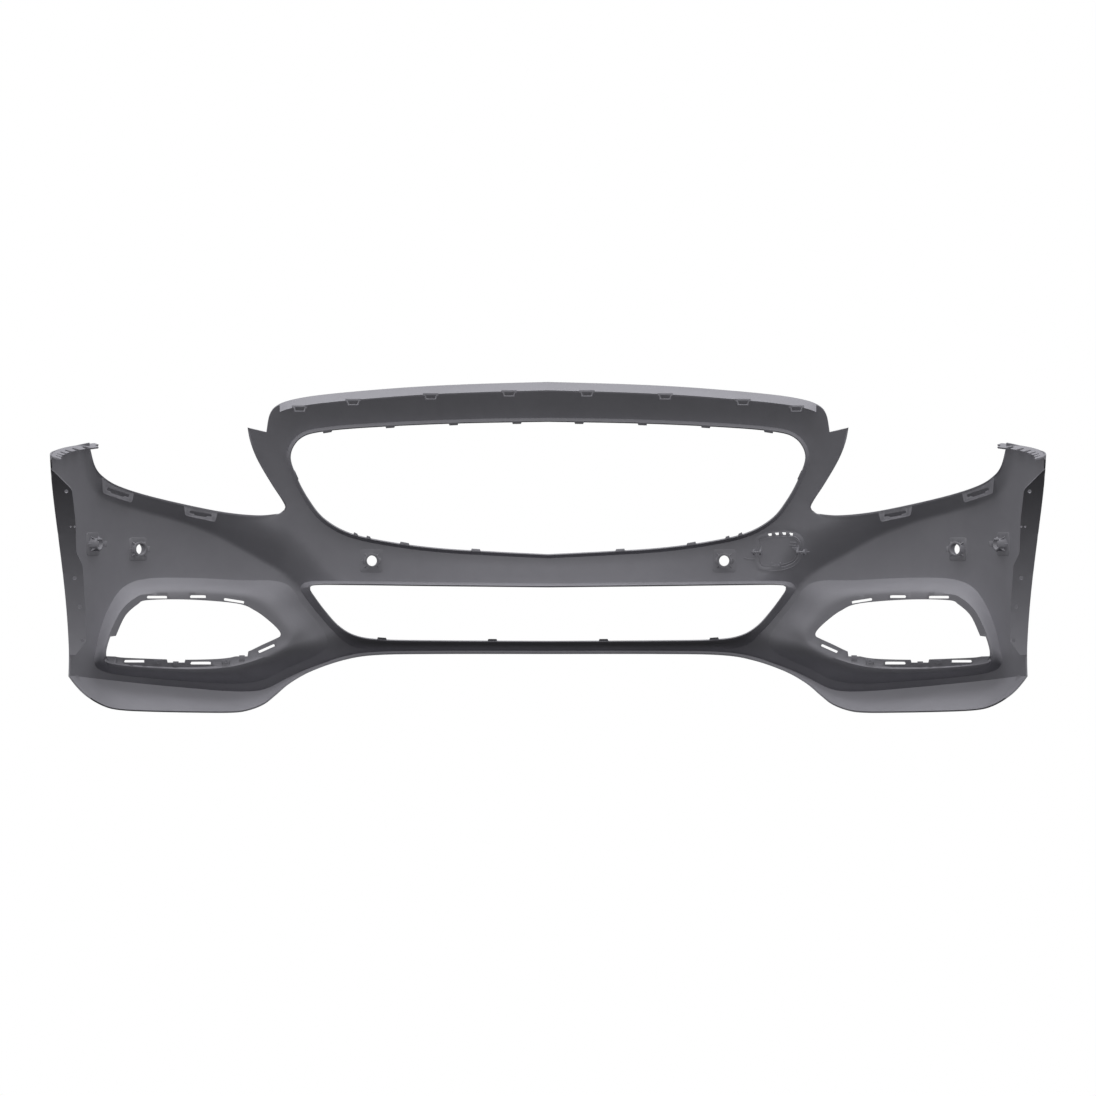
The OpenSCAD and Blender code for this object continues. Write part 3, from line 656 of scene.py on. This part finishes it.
class Solids:
    """Closed solids of one object, gathered in millimetres."""

    def __init__(self):
        self.points, self.faces, self.count = [], [], 0

    def plate(self, place, outline, low, high, holes=(), seeds=()):
        """A plate with holes between two heights of the frame that place() maps from."""
        flat, tris = triangulated([np.asarray(loop, float) for loop in (outline, *holes)], seeds)
        n = len(flat)
        points = np.vstack([np.column_stack([flat, np.full(n, h)]) for h in (low, high)])
        edges = {(a, b) for t in tris for a, b in zip(t, np.roll(t, -1))}
        faces = [tuple(t[::-1]) for t in tris] + [tuple(t + n) for t in tris]
        faces += [(a, b, b + n, a + n) for a, b in edges if (b, a) not in edges]
        self.points.append(place(points))
        self.faces += [tuple(int(i) + self.count for i in f) for f in faces]
        self.count += 2 * n


def hard_object(name, solids, mirror=(1,), bevel=0.4):
    """An object of the solids with bevelled edges, mirrored for each sign in mirror."""
    points = np.vstack(solids.points)
    n = len(points)
    every = np.vstack([points * [sign, 1, 1] for sign in mirror])
    faces = [tuple(i + k * n for i in f) for k in range(len(mirror)) for f in solids.faces]
    obj = mesh_object(name, every, faces)
    bm = bmesh.new()
    bm.from_mesh(obj.data)
    bmesh.ops.recalc_face_normals(bm, faces=bm.faces)
    bmesh.ops.dissolve_limit(bm, angle_limit=math.radians(0.3), verts=bm.verts, edges=bm.edges)
    bm.to_mesh(obj.data)
    bm.free()
    edge = obj.modifiers.new("bevel", "BEVEL")
    edge.width, edge.segments, edge.limit_method = bevel * MM, 2, "ANGLE"
    edge.angle_limit, edge.use_clamp_overlap = math.radians(35), True
    return finished(obj, 45)


def rect(left, low, right, high):
    return np.array([[left, low], [right, low], [right, high], [left, high]], float)


def circle(radius, centre=(0, 0), n=40, start=0, end=360):
    """Points of a circle, or of the arc between two angles in degrees."""
    full = end - start == 360
    angle = np.radians(np.linspace(start, end, n, endpoint=not full))
    return np.stack([np.cos(angle), np.sin(angle)], 1) * radius + centre


def rounded_rect(w, h, r):
    return np.vstack([circle(r, (sx * (w / 2 - r), sz * (h / 2 - r)), 7, a, a + 90)
                      for sx, sz, a in ((1, 1, 0), (-1, 1, 90), (-1, -1, 180), (1, -1, 270))])


def rounded(corners, r):
    """A polygon with its corners rounded."""
    p = np.asarray(corners, float)
    loop = []
    for before, corner, after in zip(np.roll(p, 1, 0), p, np.roll(p, -1, 0)):
        sides = [q - corner for q in (before, after)]
        start, end = [corner + q * min(0.45, r / np.linalg.norm(q)) for q in sides]
        loop += [bent(start, corner, end, t) for t in np.linspace(0, 1, 6)]
    return np.array(loop)


def band(path, width):
    """The outline of a strip of that width along a path."""
    p = np.asarray(path, float)
    along_it = np.gradient(p, axis=0)
    along_it /= np.linalg.norm(along_it, axis=1)[:, None]
    off = np.stack([-along_it[:, 1], along_it[:, 0]], 1) * width / 2
    return np.vstack([p + off, (p - off)[::-1]])


def grid(left, low, right, high, step):
    return [(x, z) for x in np.arange(left, right, step) for z in np.arange(low, high, step)]


def seeds_in(outline, holes, step):
    """Points of a grid well inside an outline and clear of its holes."""
    loops = [np.asarray(loop, float) for loop in (outline, *holes)]
    low, high = loops[0].min(0), loops[0].max(0)
    points = np.array(grid(low[0] + step / 2, low[1] + step / 2, high[0], high[1], step))
    points = points[inside(points, loops)]
    rim = np.vstack(loops)
    near = np.min(np.linalg.norm(points[:, None] - rim[None], axis=2), axis=1)
    return points[near > 0.4 * step]


def framed(origin, u, v, w):
    """Maps a local place to the frame with that origin and those axes."""
    return lambda p: origin + p[:, :1] * u + p[:, 1:2] * v + p[:, 2:3] * w


def frame_at(x, z, turn=0.0):
    """Maps a local place, as [right, up, out], to the outer face's own flat frame at x, z."""
    return framed(skin_xz(np.array([x, z], float)), *turned_axes(x, z, turn))


def wrapped_at(x, z):
    """The same, but following the curve of the wall."""
    flat = frame_at(x, z)

    def place(p):
        under = flat(p * [1, 1, 0])[:, [0, 2]]
        return skin_xz(under) + normals_xz(under) * p[:, 2:3]

    return place


def seen(p):
    """Maps [x, height, out] to the outer face: x and height as seen from behind, out along its normal."""
    return skin_xz(p[:, :2]) + normals_xz(p[:, :2]) * p[:, 2:3]


def seen_back(p):
    """The same, but out along the car's own direction of travel."""
    return skin_xz(p[:, :2]) + p[:, 2:3] * [0, 1, 0]


def on_edge(place):
    """A frame for plates that stand on edge: [up, out, right]."""
    return lambda p: place(p[:, [2, 0, 1]])


def on_side(place):
    """A frame for plates that stand on their side: [right, out, up]."""
    return lambda p: place(p[:, [0, 2, 1]])


def spun(place, degrees):
    """A frame turned about its own outward axis."""
    c, s = cos_sin(degrees)
    return lambda p: place(p @ np.array([[c, s, 0], [-s, c, 0], [0, 0, 1]]))


# ---------- sensor holders ----------

SLEEVE_L = 11
SLEEVE_R = SENSOR_D / 2 + 3
HOLDER_BASE = 42       # width of its base


def sensor_holder(kind):
    """A curved base on the wall, a sleeve with a lead-in rim, four gussets and two spring arms."""
    x, z = SENSORS[kind]
    solids = Solids()
    base = even(rounded_rect(HOLDER_BASE, HOLDER_BASE, 5), 4, closed=True)
    hole = circle(SENSOR_D / 2 + (0.4 if kind == "inner" else 1.6), n=32)
    solids.plate(wrapped_at(x, z), base, -WALL - 0.9, -WALL - 0.1, [hole], seeds_in(base, [hole], 6))

    tilted = frame_at(x, z, SENSOR_TURN[kind])
    start = -WALL - SENSOR_BACK[kind]
    rear = start - SLEEVE_L
    first = start if kind == "outer" else -WALL - 1
    if kind == "side":
        outer, inner = [circle(r, n=40, start=125, end=415) for r in (SLEEVE_R, SENSOR_D / 2)]
        solids.plate(tilted, np.vstack([outer, inner[::-1]]), rear, first)
    else:
        solids.plate(tilted, circle(SLEEVE_R, n=48), rear, first, [circle(SENSOR_D / 2, n=48)])
        solids.plate(tilted, circle(SLEEVE_R + 1.2, n=48), rear, rear + 2, [circle(SENSOR_D / 2 + 0.6, n=48)])
    for angle in (45, 135, 225, 315):
        gusset = [[SLEEVE_R - 0.5, rear + 3], [SLEEVE_R - 0.5, start], [SLEEVE_R + 6, start],
                  [SLEEVE_R + 6, start - 1.5]]
        solids.plate(on_side(spun(tilted, angle)), gusset, -0.8, 0.8)
    for angle in (0, 180):
        arm = [[13, first], [15.2, first], [15.2, rear - 6], [13.2, rear - 6.4], [11.4, rear - 4.6],
               [11.4, rear - 3.4], [13, rear - 3]]
        solids.plate(on_side(spun(tilted, angle)), arm, -5, 5)
        solids.plate(on_side(spun(tilted, angle)), [[15, first], [18.5, first], [15, first - 7]], -0.9, 0.9)
    return solids


# ---------- towing-eye cover ----------

PIVOT = [418, 290]
PIVOT_IN = 12          # how far the tilting axis lies behind the outer face
PIN_R = 2
COVER_GAP = 1.6
TOP_SLOTS = [397, 410, 423, 436]    # left ends of the see-through notches along the cover's top edge
SLOT_W, SLOT_LOW = 6, 305
HOOK_AT, HOOK_T = 34, 3.5           # distance of a hook's middle from the cover's, and its thickness
BRACKET_AT, BRACKET_T = 46, 3       # the same of a bracket
HOOK_R, BRACKET_R = 4.5, 5          # radii of their round ends about the pins


def tilt_frame():
    """Maps [along the tilting axis, up, out] to the outer face, square to the joint's own axis."""
    tilt = frame["joints"][0]
    u = np.array(tilt["axis"], float)
    w = turned_axes(*PIVOT)[2]
    w = w - u * (w @ u)
    w /= np.linalg.norm(w)
    return framed(np.array(tilt["pos_m"]) / MM + w * PIVOT_IN, u, np.cross(u, w), w)


def at_slots(p):
    """Which points lie at a notch."""
    x = p[:, :1]
    return ((x > TOP_SLOTS) & (x < np.add(TOP_SLOTS, SLOT_W))).any(1) & (p[:, 1] > SLOT_LOW)


def cover_outline():
    """The cover's outline: the opening less the gap, with four notches along its top edge."""
    edge = even(outset(smooth_loop(TOW_HOLE), -COVER_GAP), 1, closed=True)
    return np.where(at_slots(edge)[:, None], outset(edge, -2.6), edge)


def post(radius, top):
    """The outline of a post of that half width, from top to a round end about the pin, as [up, out]."""
    return np.vstack([[[radius, top], [-radius, top], [-radius, -PIVOT_IN]],
                      circle(radius, (0, -PIVOT_IN), 13, 180, 360)])


def edge_bands(solids, keep, near, far, low, high):
    """Strips along the parts of the cover's opening that keep() picks, between two distances from it."""
    loop = even(smooth_loop(TOW_HOLE), 1, closed=True)
    picked = keep(loop)
    first = int(np.argmax(picked & ~np.roll(picked, 1)))
    loops = [np.roll(outset(loop, by), -first, 0) for by in (near, far)]
    picked = np.roll(picked, -first)
    ends = np.flatnonzero(picked != np.roll(picked, -1)) + 1
    for start, end in zip([0, *ends[1::2]], ends[::2]):
        solids.plate(seen, np.vstack([loops[0][start:end], loops[1][start:end][::-1]]), low, high)


def below_pins(p):
    return p[:, 1] < PIVOT[1] - 1.5


def between_slots(p):
    return (p[:, 1] > PIVOT[1] + 1.5) & ~at_slots(p)


def tow_cover_seat():
    """The ledge behind the cover's lower half."""
    solids = Solids()
    edge_bands(solids, below_pins, -5, 2.5, -WALL - 2.4, -WALL - 0.5)
    edge_bands(solids, below_pins, 0.3, 2.5, -WALL - 0.6, -WALL + 0.3)
    return solids


def tow_eye_cover():
    """The panel with its flange, rim, latch and lower clip, and the hooks that turn on the pins."""
    solids = Solids()
    edge_bands(solids, between_slots, -5, 0.8, -WALL - 2.4, -WALL - 0.5)
    edge_bands(solids, between_slots, -5, -2.2, -WALL - 0.6, -WALL + 0.3)
    outline = cover_outline()
    solids.plate(seen, outline, -WALL, 0, seeds=seeds_in(outline, [], 7))
    smaller = smooth_loop(TOW_HOLE, 4)
    rim, inner = outset(smaller, -COVER_GAP - 5.6), outset(smaller, -COVER_GAP - 7)
    solids.plate(seen, rim, -WALL - 1, -WALL + 0.3, [inner])
    latch = smooth([[436, 318], [446, 317.5], [452.5, 312], [454, 304], [450.5, 297.5], [443, 296]], 5)
    solids.plate(seen, band(latch, 1.8), -WALL - 7, -WALL + 0.3)
    solids.plate(seen, rect(440, 297, 450, 299), -WALL - 6, -WALL + 0.3)
    for height in (301.5, 306.5):
        solids.plate(seen, rect(436, height, 447, height + 1.6), -WALL - 4.4, -WALL + 0.3)
    solids.plate(seen, rect(402, 264.4, 419, 266.2), -WALL - 5, -WALL + 0.3)
    for left in (402, 417.2):
        solids.plate(seen, rect(left, 266, left + 1.8, 271.5), -WALL - 5, -WALL + 0.3)
    edge = on_edge(tilt_frame())
    for side in (-1, 1):
        middle = side * HOOK_AT
        eye = circle(PIN_R + 0.05, (0, -PIVOT_IN), 28)
        solids.plate(edge, post(HOOK_R, -WALL * 0.6), middle - HOOK_T / 2, middle + HOOK_T / 2, [eye])
        rib = [[4.2, -WALL + 0.4], [13, -WALL + 0.4], [4.2, -8.5]]
        solids.plate(edge, rib, middle - 0.7, middle + 0.7)
    return solids


def tow_cover_pivots():
    """Two brackets on the wall, each with a pin that the cover's hook turns on."""
    solids = Solids()
    place = tilt_frame()
    edge = on_edge(place)
    for side in (-1, 1):
        middle = side * BRACKET_AT
        origin, foot_at = place(np.array([[0, 0, 0], [middle, 0, 0]], float))
        rise = (skin_xz(foot_at[[0, 2]]) - origin) @ turned_axes(*PIVOT)[2]
        top = float(rise) - WALL + 0.5
        solids.plate(edge, post(BRACKET_R, top), middle - BRACKET_T / 2, middle + BRACKET_T / 2)
        solids.plate(edge, circle(PIN_R, (0, -PIVOT_IN), 28), *sorted((side * 32.2, side * 45)))
        foot = np.array([[47.3, top], [53, top], [47.3, top - 7]]) * [side, 1]
        solids.plate(on_side(place), foot, -0.8, 0.8)
    return solids


# ---------- tabs, loops and small features of the moulding ----------

TAB_BACK = 2           # how far the plates' front stands behind the headlamp's edge
TAB_CORNER = 4
TAB_RIM = 2.2
# The corners of each plate, its slot's centre, half size, step down (half width, height) and turn
TABS = {
    "outer": ([[745, 396.5], [771, 406], [803, 425], [801, 395], [749, 378]],
              (774, 397.2), (20.5, 2.5), (12.5, 2.6), 18.6),
    "inner": ([[594, 362.5], [656, 375], [653, 355], [599, 343.5]],
              (625, 358.7), (19.8, 2.2), (11.5, 2.4), 9.6)}


def hanging(p):
    """Maps [x, height, out] to a plate that hangs straight down behind the headlamp's edge."""
    edge = skin_xz(np.stack([p[:, 0], at(p[:, 0], smooth(LAMP_EDGE, 4))], 1))
    return np.stack([p[:, 0], edge[:, 1] + p[:, 2], p[:, 1]], 1)


def headlamp_tab(corners, slot_centre, slot, step, turn):
    """A plate with rounded lower corners, a raised rim and a stepped slot."""
    solids = Solids()
    c, s = cos_sin(turn)
    (w, h), (sw, sh) = slot, step
    shape = [[-w, -h], [-sw, -h], [-sw, -h - sh], [sw, -h - sh], [sw, -h], [w, -h], [w, h], [-w, h]]
    shape = np.array(shape, float) @ [[c, s], [-s, c]] + slot_centre
    outline = even(rounded(corners, TAB_CORNER), 2, closed=True)
    inner = outset(outline, -TAB_RIM)
    slot = even(shape, 3, closed=True)
    solids.plate(hanging, outline, -TAB_BACK - 3, -TAB_BACK - 1, [slot], seeds_in(outline, [slot], 5))
    solids.plate(hanging, outline, -TAB_BACK - 1.1, -TAB_BACK, [inner])
    solids.plate(hanging, outline, -TAB_BACK - 3.8, -TAB_BACK - 2.9, [inner])
    return solids


def upper_loops():
    """The slotted loops that hang from the rear edge of the flange along the top."""
    solids = Solids()
    top = smooth(TOP_EDGE)
    for x in (70, 211, 351, 447):
        height = float(at(x, top))
        edge = skin_xz(np.array([x, height], float)) - [0, flange_w(x), FLANGE_DROP]
        u = turned_axes(x, height - 20)[0]
        place = framed(edge, u, [0, 0, 1], np.cross(u, [0, 0, 1]))
        loop = [[-14, 2.2], [14, 2.2], [14, -2.2], [11.2, -3.4], [9.6, -10], [-9.6, -10], [-11.2, -3.4],
                [-14, -2.2]]
        slot = [[-9.4, -1.4], [9.4, -1.4], [8.8, -3.2], [7.6, -7.8], [-7.6, -7.8], [-8.8, -3.2]]
        solids.plate(place, loop, -1.2, 1.2, [slot])
        solids.plate(on_side(place), rect(-9.5, -1, 9.5, 3.4), -10, -7.9)
    return solids


# Tabs around the openings: [x, width, whether the tab stands up from the edge or hangs down]
GRILLE_TABS = [[56, 18, -1], [170, 18, -1], [284, 18, -1], [397, 18, -1],
               [130, 18, 1], [258, 18, 1], [323, 9, 1], [346, 9, 1]]
INTAKE_TABS = [[100, 18, 1], [299, 18, 1]]


def clip_tabs(tabs, outline, middle, depth):
    """Small wedge-ended tabs at the rear of an opening's turned edge, above or below its middle."""
    solids = Solids()
    hole = half_loop(outline)
    hole = hole[hole[:, 0] > 0]
    for x, w, up in tabs:
        side = hole[(hole[:, 1] > middle) == (up < 0)]
        side = side[np.argsort(side[:, 0])]
        root = np.array([[x - w / 2, 0], [x + w / 2, 0]])
        root[:, 1] = at(root[:, 0], side)
        low, high = root - [0, up * 1.6], root + [0, up * 2.9]
        high += [[1.6, 0], [-1.6, 0]]
        knee = low + (high - low) * 0.4
        solids.plate(seen_back, np.vstack([low, knee[1:], high[::-1], knee[:1]]), -depth - 2.5, -depth + 7)
    return solids


def small_features():
    """The right half's bosses and small plates on the lamp's frame, and the wedge tab beside the grille."""
    solids = Solids()
    for x, z in ((702, 91.5), (579.5, 92.5)):
        bore = circle(1.7, (x, z), 18)
        solids.plate(seen_back, circle(4.2, (x, z), 24), -LAMP_DEPTH - 9, -LAMP_DEPTH, [bore])
        for rib in (x - 6.5, x + 6.5):
            solids.plate(seen_back, rect(rib - 0.8, z - 5, rib + 0.8, z + 5.5), -LAMP_DEPTH - 6, -LAMP_DEPTH)
    for x, low, high in ((670, 84, 93), (551, 94, 104)):
        solids.plate(seen_back, rect(x - 5, low, x + 5, high), -LAMP_DEPTH - 5, -LAMP_DEPTH + 3)
    solids.plate(seen_back, [[456.5, 438], [455, 420.5], [448.6, 420.5]], -19, -9)
    return solids


def tether_rib():
    """The start of the cover's tether, on the wall beside its opening."""
    solids = Solids()
    path = smooth([[353, 280.5], [359, 277.5], [368, 276.6], [375, 277]], 5)
    solids.plate(seen, band(path, 1.5), -WALL - 1.6, -WALL + 0.3)
    return solids


# ---------- materials ----------

def node(tree, kind, **values):
    """A shader node with its inputs or properties set by name."""
    made = tree.nodes.new(kind)
    for key, value in values.items():
        if key in made.inputs:
            made.inputs[key].default_value = value
        else:
            setattr(made, key, value)
    return made


def times(tree, value, factor):
    """A value multiplied by a factor."""
    made = node(tree, "ShaderNodeMath", operation="MULTIPLY")
    made.inputs[1].default_value = factor
    tree.links.new(value, made.inputs[0])
    return made.outputs[0]


def plastic(name, colour, roughness, grain, mottle, scratch):
    """Moulded plastic: fine grain, flow mottling, dull patches and faint scuffs."""
    material = bpy.data.materials.new(name)
    material.use_nodes = True
    tree = material.node_tree
    link = tree.links.new
    shader = tree.nodes["Principled BSDF"]
    shader.inputs["Specular IOR Level"].default_value = 0.35
    place = node(tree, "ShaderNodeTexCoord").outputs["Object"]

    flow = node(tree, "ShaderNodeTexNoise", Scale=7.0, Detail=4.0, Roughness=0.55, Distortion=0.6)
    patches = node(tree, "ShaderNodeTexNoise", Scale=38.0, Detail=5.0, Roughness=0.6)
    speck = node(tree, "ShaderNodeTexNoise", Scale=1400.0, Detail=2.0, Roughness=0.5)
    cells = node(tree, "ShaderNodeTexVoronoi", Scale=1100.0)
    stretch = node(tree, "ShaderNodeMapping")
    stretch.inputs["Scale"].default_value = (30, 220, 260)
    scuffs = node(tree, "ShaderNodeTexNoise", Scale=1.0, Detail=6.0, Roughness=0.7)
    for texture in (flow, patches, speck, cells, stretch):
        link(place, texture.inputs["Vector"])
    link(stretch.outputs["Vector"], scuffs.inputs["Vector"])

    tones = node(tree, "ShaderNodeValToRGB")
    dark, light = [tuple(c * k for c in colour) + (1,) for k in (1 - mottle, 1 + mottle)]
    for element, position, tone in zip(tones.color_ramp.elements, (0.34, 0.66), (dark, light)):
        element.position, element.color = position, tone
    mixed = node(tree, "ShaderNodeMath", operation="MULTIPLY_ADD")
    mixed.inputs[1].default_value = 0.45
    link(patches.outputs["Fac"], mixed.inputs[0])
    link(times(tree, flow.outputs["Fac"], 0.55), mixed.inputs[2])
    link(mixed.outputs[0], tones.inputs["Fac"])

    lines = node(tree, "ShaderNodeValToRGB")
    lines.color_ramp.elements[0].position, lines.color_ramp.elements[1].position = 0.66, 0.74
    link(scuffs.outputs["Fac"], lines.inputs["Fac"])
    worn = node(tree, "ShaderNodeMix", data_type="RGBA")
    worn.inputs["B"].default_value = tuple(min(1, c * 1.5) for c in colour) + (1,)
    link(times(tree, lines.outputs["Color"], scratch), worn.inputs["Factor"])
    link(tones.outputs["Color"], worn.inputs["A"])
    link(worn.outputs["Result"], shader.inputs["Base Color"])

    rough = node(tree, "ShaderNodeMapRange")
    rough.inputs["To Min"].default_value = roughness - 0.08
    rough.inputs["To Max"].default_value = roughness + 0.08
    link(patches.outputs["Fac"], rough.inputs["Value"])
    link(rough.outputs["Result"], shader.inputs["Roughness"])

    height = node(tree, "ShaderNodeMath", operation="ADD")
    link(speck.outputs["Fac"], height.inputs[0])
    link(cells.outputs["Distance"], height.inputs[1])
    bump = node(tree, "ShaderNodeBump", Strength=grain, Distance=0.0003)
    link(height.outputs[0], bump.inputs["Height"])
    wave = node(tree, "ShaderNodeBump", Strength=0.12, Distance=0.002)
    link(flow.outputs["Fac"], wave.inputs["Height"])
    link(bump.outputs["Normal"], wave.inputs["Normal"])
    link(wave.outputs["Normal"], shader.inputs["Normal"])
    return material


MOULDING = plastic("moulding_plastic", (0.255, 0.252, 0.275), 0.56, 0.35, 0.05, 0.12)
HOLDER = plastic("holder_plastic", (0.25, 0.247, 0.268), 0.48, 0.25, 0.05, 0.10)


def dress(obj, material, body, slot, *replaced):
    obj.data.materials.clear()
    obj.data.materials.append(material)
    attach(obj, body)
    if replaced:
        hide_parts(*replaced)


def nodes_named(*starts):
    return [name for name in frame["nodes"] if name.startswith(starts)]


# ---------- the pieces ----------

BOTH = (1, -1)
SIDES = (("right", 1), ("left", -1))


def moulded(obj, *replaced):
    dress(obj, MOULDING, "cover", "moulding", *replaced)


moulded(build_moulding(), "cover_skin", "upper_flange", *nodes_named(
    "grille_surround", "intake_surround", "lamp_pocket", "lamp_frame", "wheel_arch_flange", "fender_flange"))
for name, numbers in TABS.items():
    for side, sign in SIDES:
        tab = hard_object(f"headlamp_tab_{name}_{side}_body", headlamp_tab(*numbers), (sign,), 0.3)
        moulded(tab, f"headlamp_tab_{name}_{side}")
moulded(hard_object("retaining_loops", upper_loops(), BOTH), "upper_retaining_loops")
grille_tabs = clip_tabs(GRILLE_TABS, GRILLE_HOLE, 400, GRILLE_DEPTH)
moulded(hard_object("grille_tabs", grille_tabs, BOTH), "grille_clip_tabs")
intake_tabs = clip_tabs(INTAKE_TABS, INTAKE_HOLE, 180, INTAKE_DEPTH)
moulded(hard_object("intake_tabs", intake_tabs, BOTH), "intake_clip_tabs")
moulded(hard_object("small_features", small_features(), BOTH, 0.3))
moulded(hard_object("tether_rib", tether_rib(), (1,), 0.3))
for kind in SENSORS:
    for side, sign in SIDES:
        holder = hard_object(f"sensor_holder_{kind}_{side}_body", sensor_holder(kind), (sign,), 0.3)
        dress(holder, HOLDER, "cover", "holder_plastic", f"sensor_holder_{kind}_{side}")
moulded(hard_object("tow_cover_brackets", tow_cover_pivots(), (1,), 0.3), "tow_cover_pivots")
moulded(hard_object("tow_cover_ledge", tow_cover_seat(), (1,), 0.2), "tow_cover_seat")
panel = hard_object("tow_cover_panel", tow_eye_cover(), (1,), 0.3)
dress(panel, MOULDING, "tow_flap", "moulding", "tow_eye_cover")


# ---------- floor, light and camera ----------

def floor():
    """A pale floor that throws no light back at the object."""
    size = 6.0
    mesh = bpy.data.meshes.new("floor")
    corners = [(x * size, y * size, 0) for x, y in ((-1, -1), (1, -1), (1, 1), (-1, 1))]
    mesh.from_pydata(corners, [], [(0, 1, 2, 3)])
    obj = bpy.data.objects.new("floor", mesh)
    bpy.context.scene.collection.objects.link(obj)
    material = bpy.data.materials.new("floor_paint")
    material.use_nodes = True
    shader = material.node_tree.nodes["Principled BSDF"]
    shader.inputs["Base Color"].default_value = (0.8, 0.8, 0.8, 1)
    shader.inputs["Roughness"].default_value = 0.8
    mesh.materials.append(material)
    obj.visible_diffuse = obj.visible_glossy = False
    obj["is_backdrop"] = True


def sky():
    """White behind the object, and for the light on it bright above and dim below."""
    world = bpy.data.worlds.new("studio")
    bpy.context.scene.world = world
    world.use_nodes = True
    tree = world.node_tree
    link = tree.links.new
    tree.nodes.clear()
    way = node(tree, "ShaderNodeTexCoord").outputs["Generated"]
    split = node(tree, "ShaderNodeSeparateXYZ")
    link(way, split.inputs[0])
    ramp = node(tree, "ShaderNodeValToRGB")
    ramp.color_ramp.interpolation = "EASE"
    stops = [(0.0, 0.055), (0.5, 0.055), (0.65, 0.06), (0.8, 0.45), (1.0, 1.3)]
    while len(ramp.color_ramp.elements) < len(stops):
        ramp.color_ramp.elements.new(0.5)
    for element, (position, value) in zip(ramp.color_ramp.elements, stops):
        element.position = position
        element.color = (value, value, value * 1.03, 1)
    height = node(tree, "ShaderNodeMapRange")
    height.inputs["From Min"].default_value = -1
    link(split.outputs["Z"], height.inputs["Value"])
    link(height.outputs["Result"], ramp.inputs["Fac"])
    glow = node(tree, "ShaderNodeBackground", Strength=1.0)
    link(ramp.outputs["Color"], glow.inputs["Color"])
    white = node(tree, "ShaderNodeBackground", Color=(1, 1, 1, 1), Strength=1.0)
    choose = node(tree, "ShaderNodeMixShader")
    link(node(tree, "ShaderNodeLightPath").outputs["Is Camera Ray"], choose.inputs["Fac"])
    link(glow.outputs[0], choose.inputs[1])
    link(white.outputs[0], choose.inputs[2])
    link(choose.outputs[0], node(tree, "ShaderNodeOutputWorld").inputs["Surface"])


def soft_light(name, place, size, power):
    """A large square light that faces the middle of the object."""
    light = bpy.data.lights.new(name, "AREA")
    light.energy, light.size = power, size
    light.use_shadow = False    # the light comes from all over the studio's ceiling and walls
    obj = bpy.data.objects.new(name, light)
    obj.location = place
    obj.rotation_euler = (Vector((0, 0, 0.3)) - Vector(place)).to_track_quat("-Z", "Y").to_euler()
    obj.visible_camera = False
    bpy.context.scene.collection.objects.link(obj)


VIEW_W, VIEW_Z = 1.973, 0.297    # width of the view and height of its middle


def camera():
    """Level, from straight behind, with no perspective."""
    data = bpy.data.cameras.new("camera")
    data.type, data.ortho_scale = "ORTHO", VIEW_W
    obj = bpy.data.objects.new("camera", data)
    obj.location, obj.rotation_euler = (0, -4, VIEW_Z), (math.pi / 2, 0, 0)
    bpy.context.scene.collection.objects.link(obj)
    bpy.context.scene.camera = obj


floor()
sky()
soft_light("overhead", (0, -0.4, 3.6), 3.0, 46)
soft_light("front", (0, 2.0, 3.0), 2.0, 8)
for side in (1, -1):
    soft_light("side", (side * 2.1, -1.3, 1.4), 1.2, 20)
camera()
bpy.context.scene.view_settings.view_transform = "Standard"

[[list(corner) for corner in box] for box in (cad_box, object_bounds())]
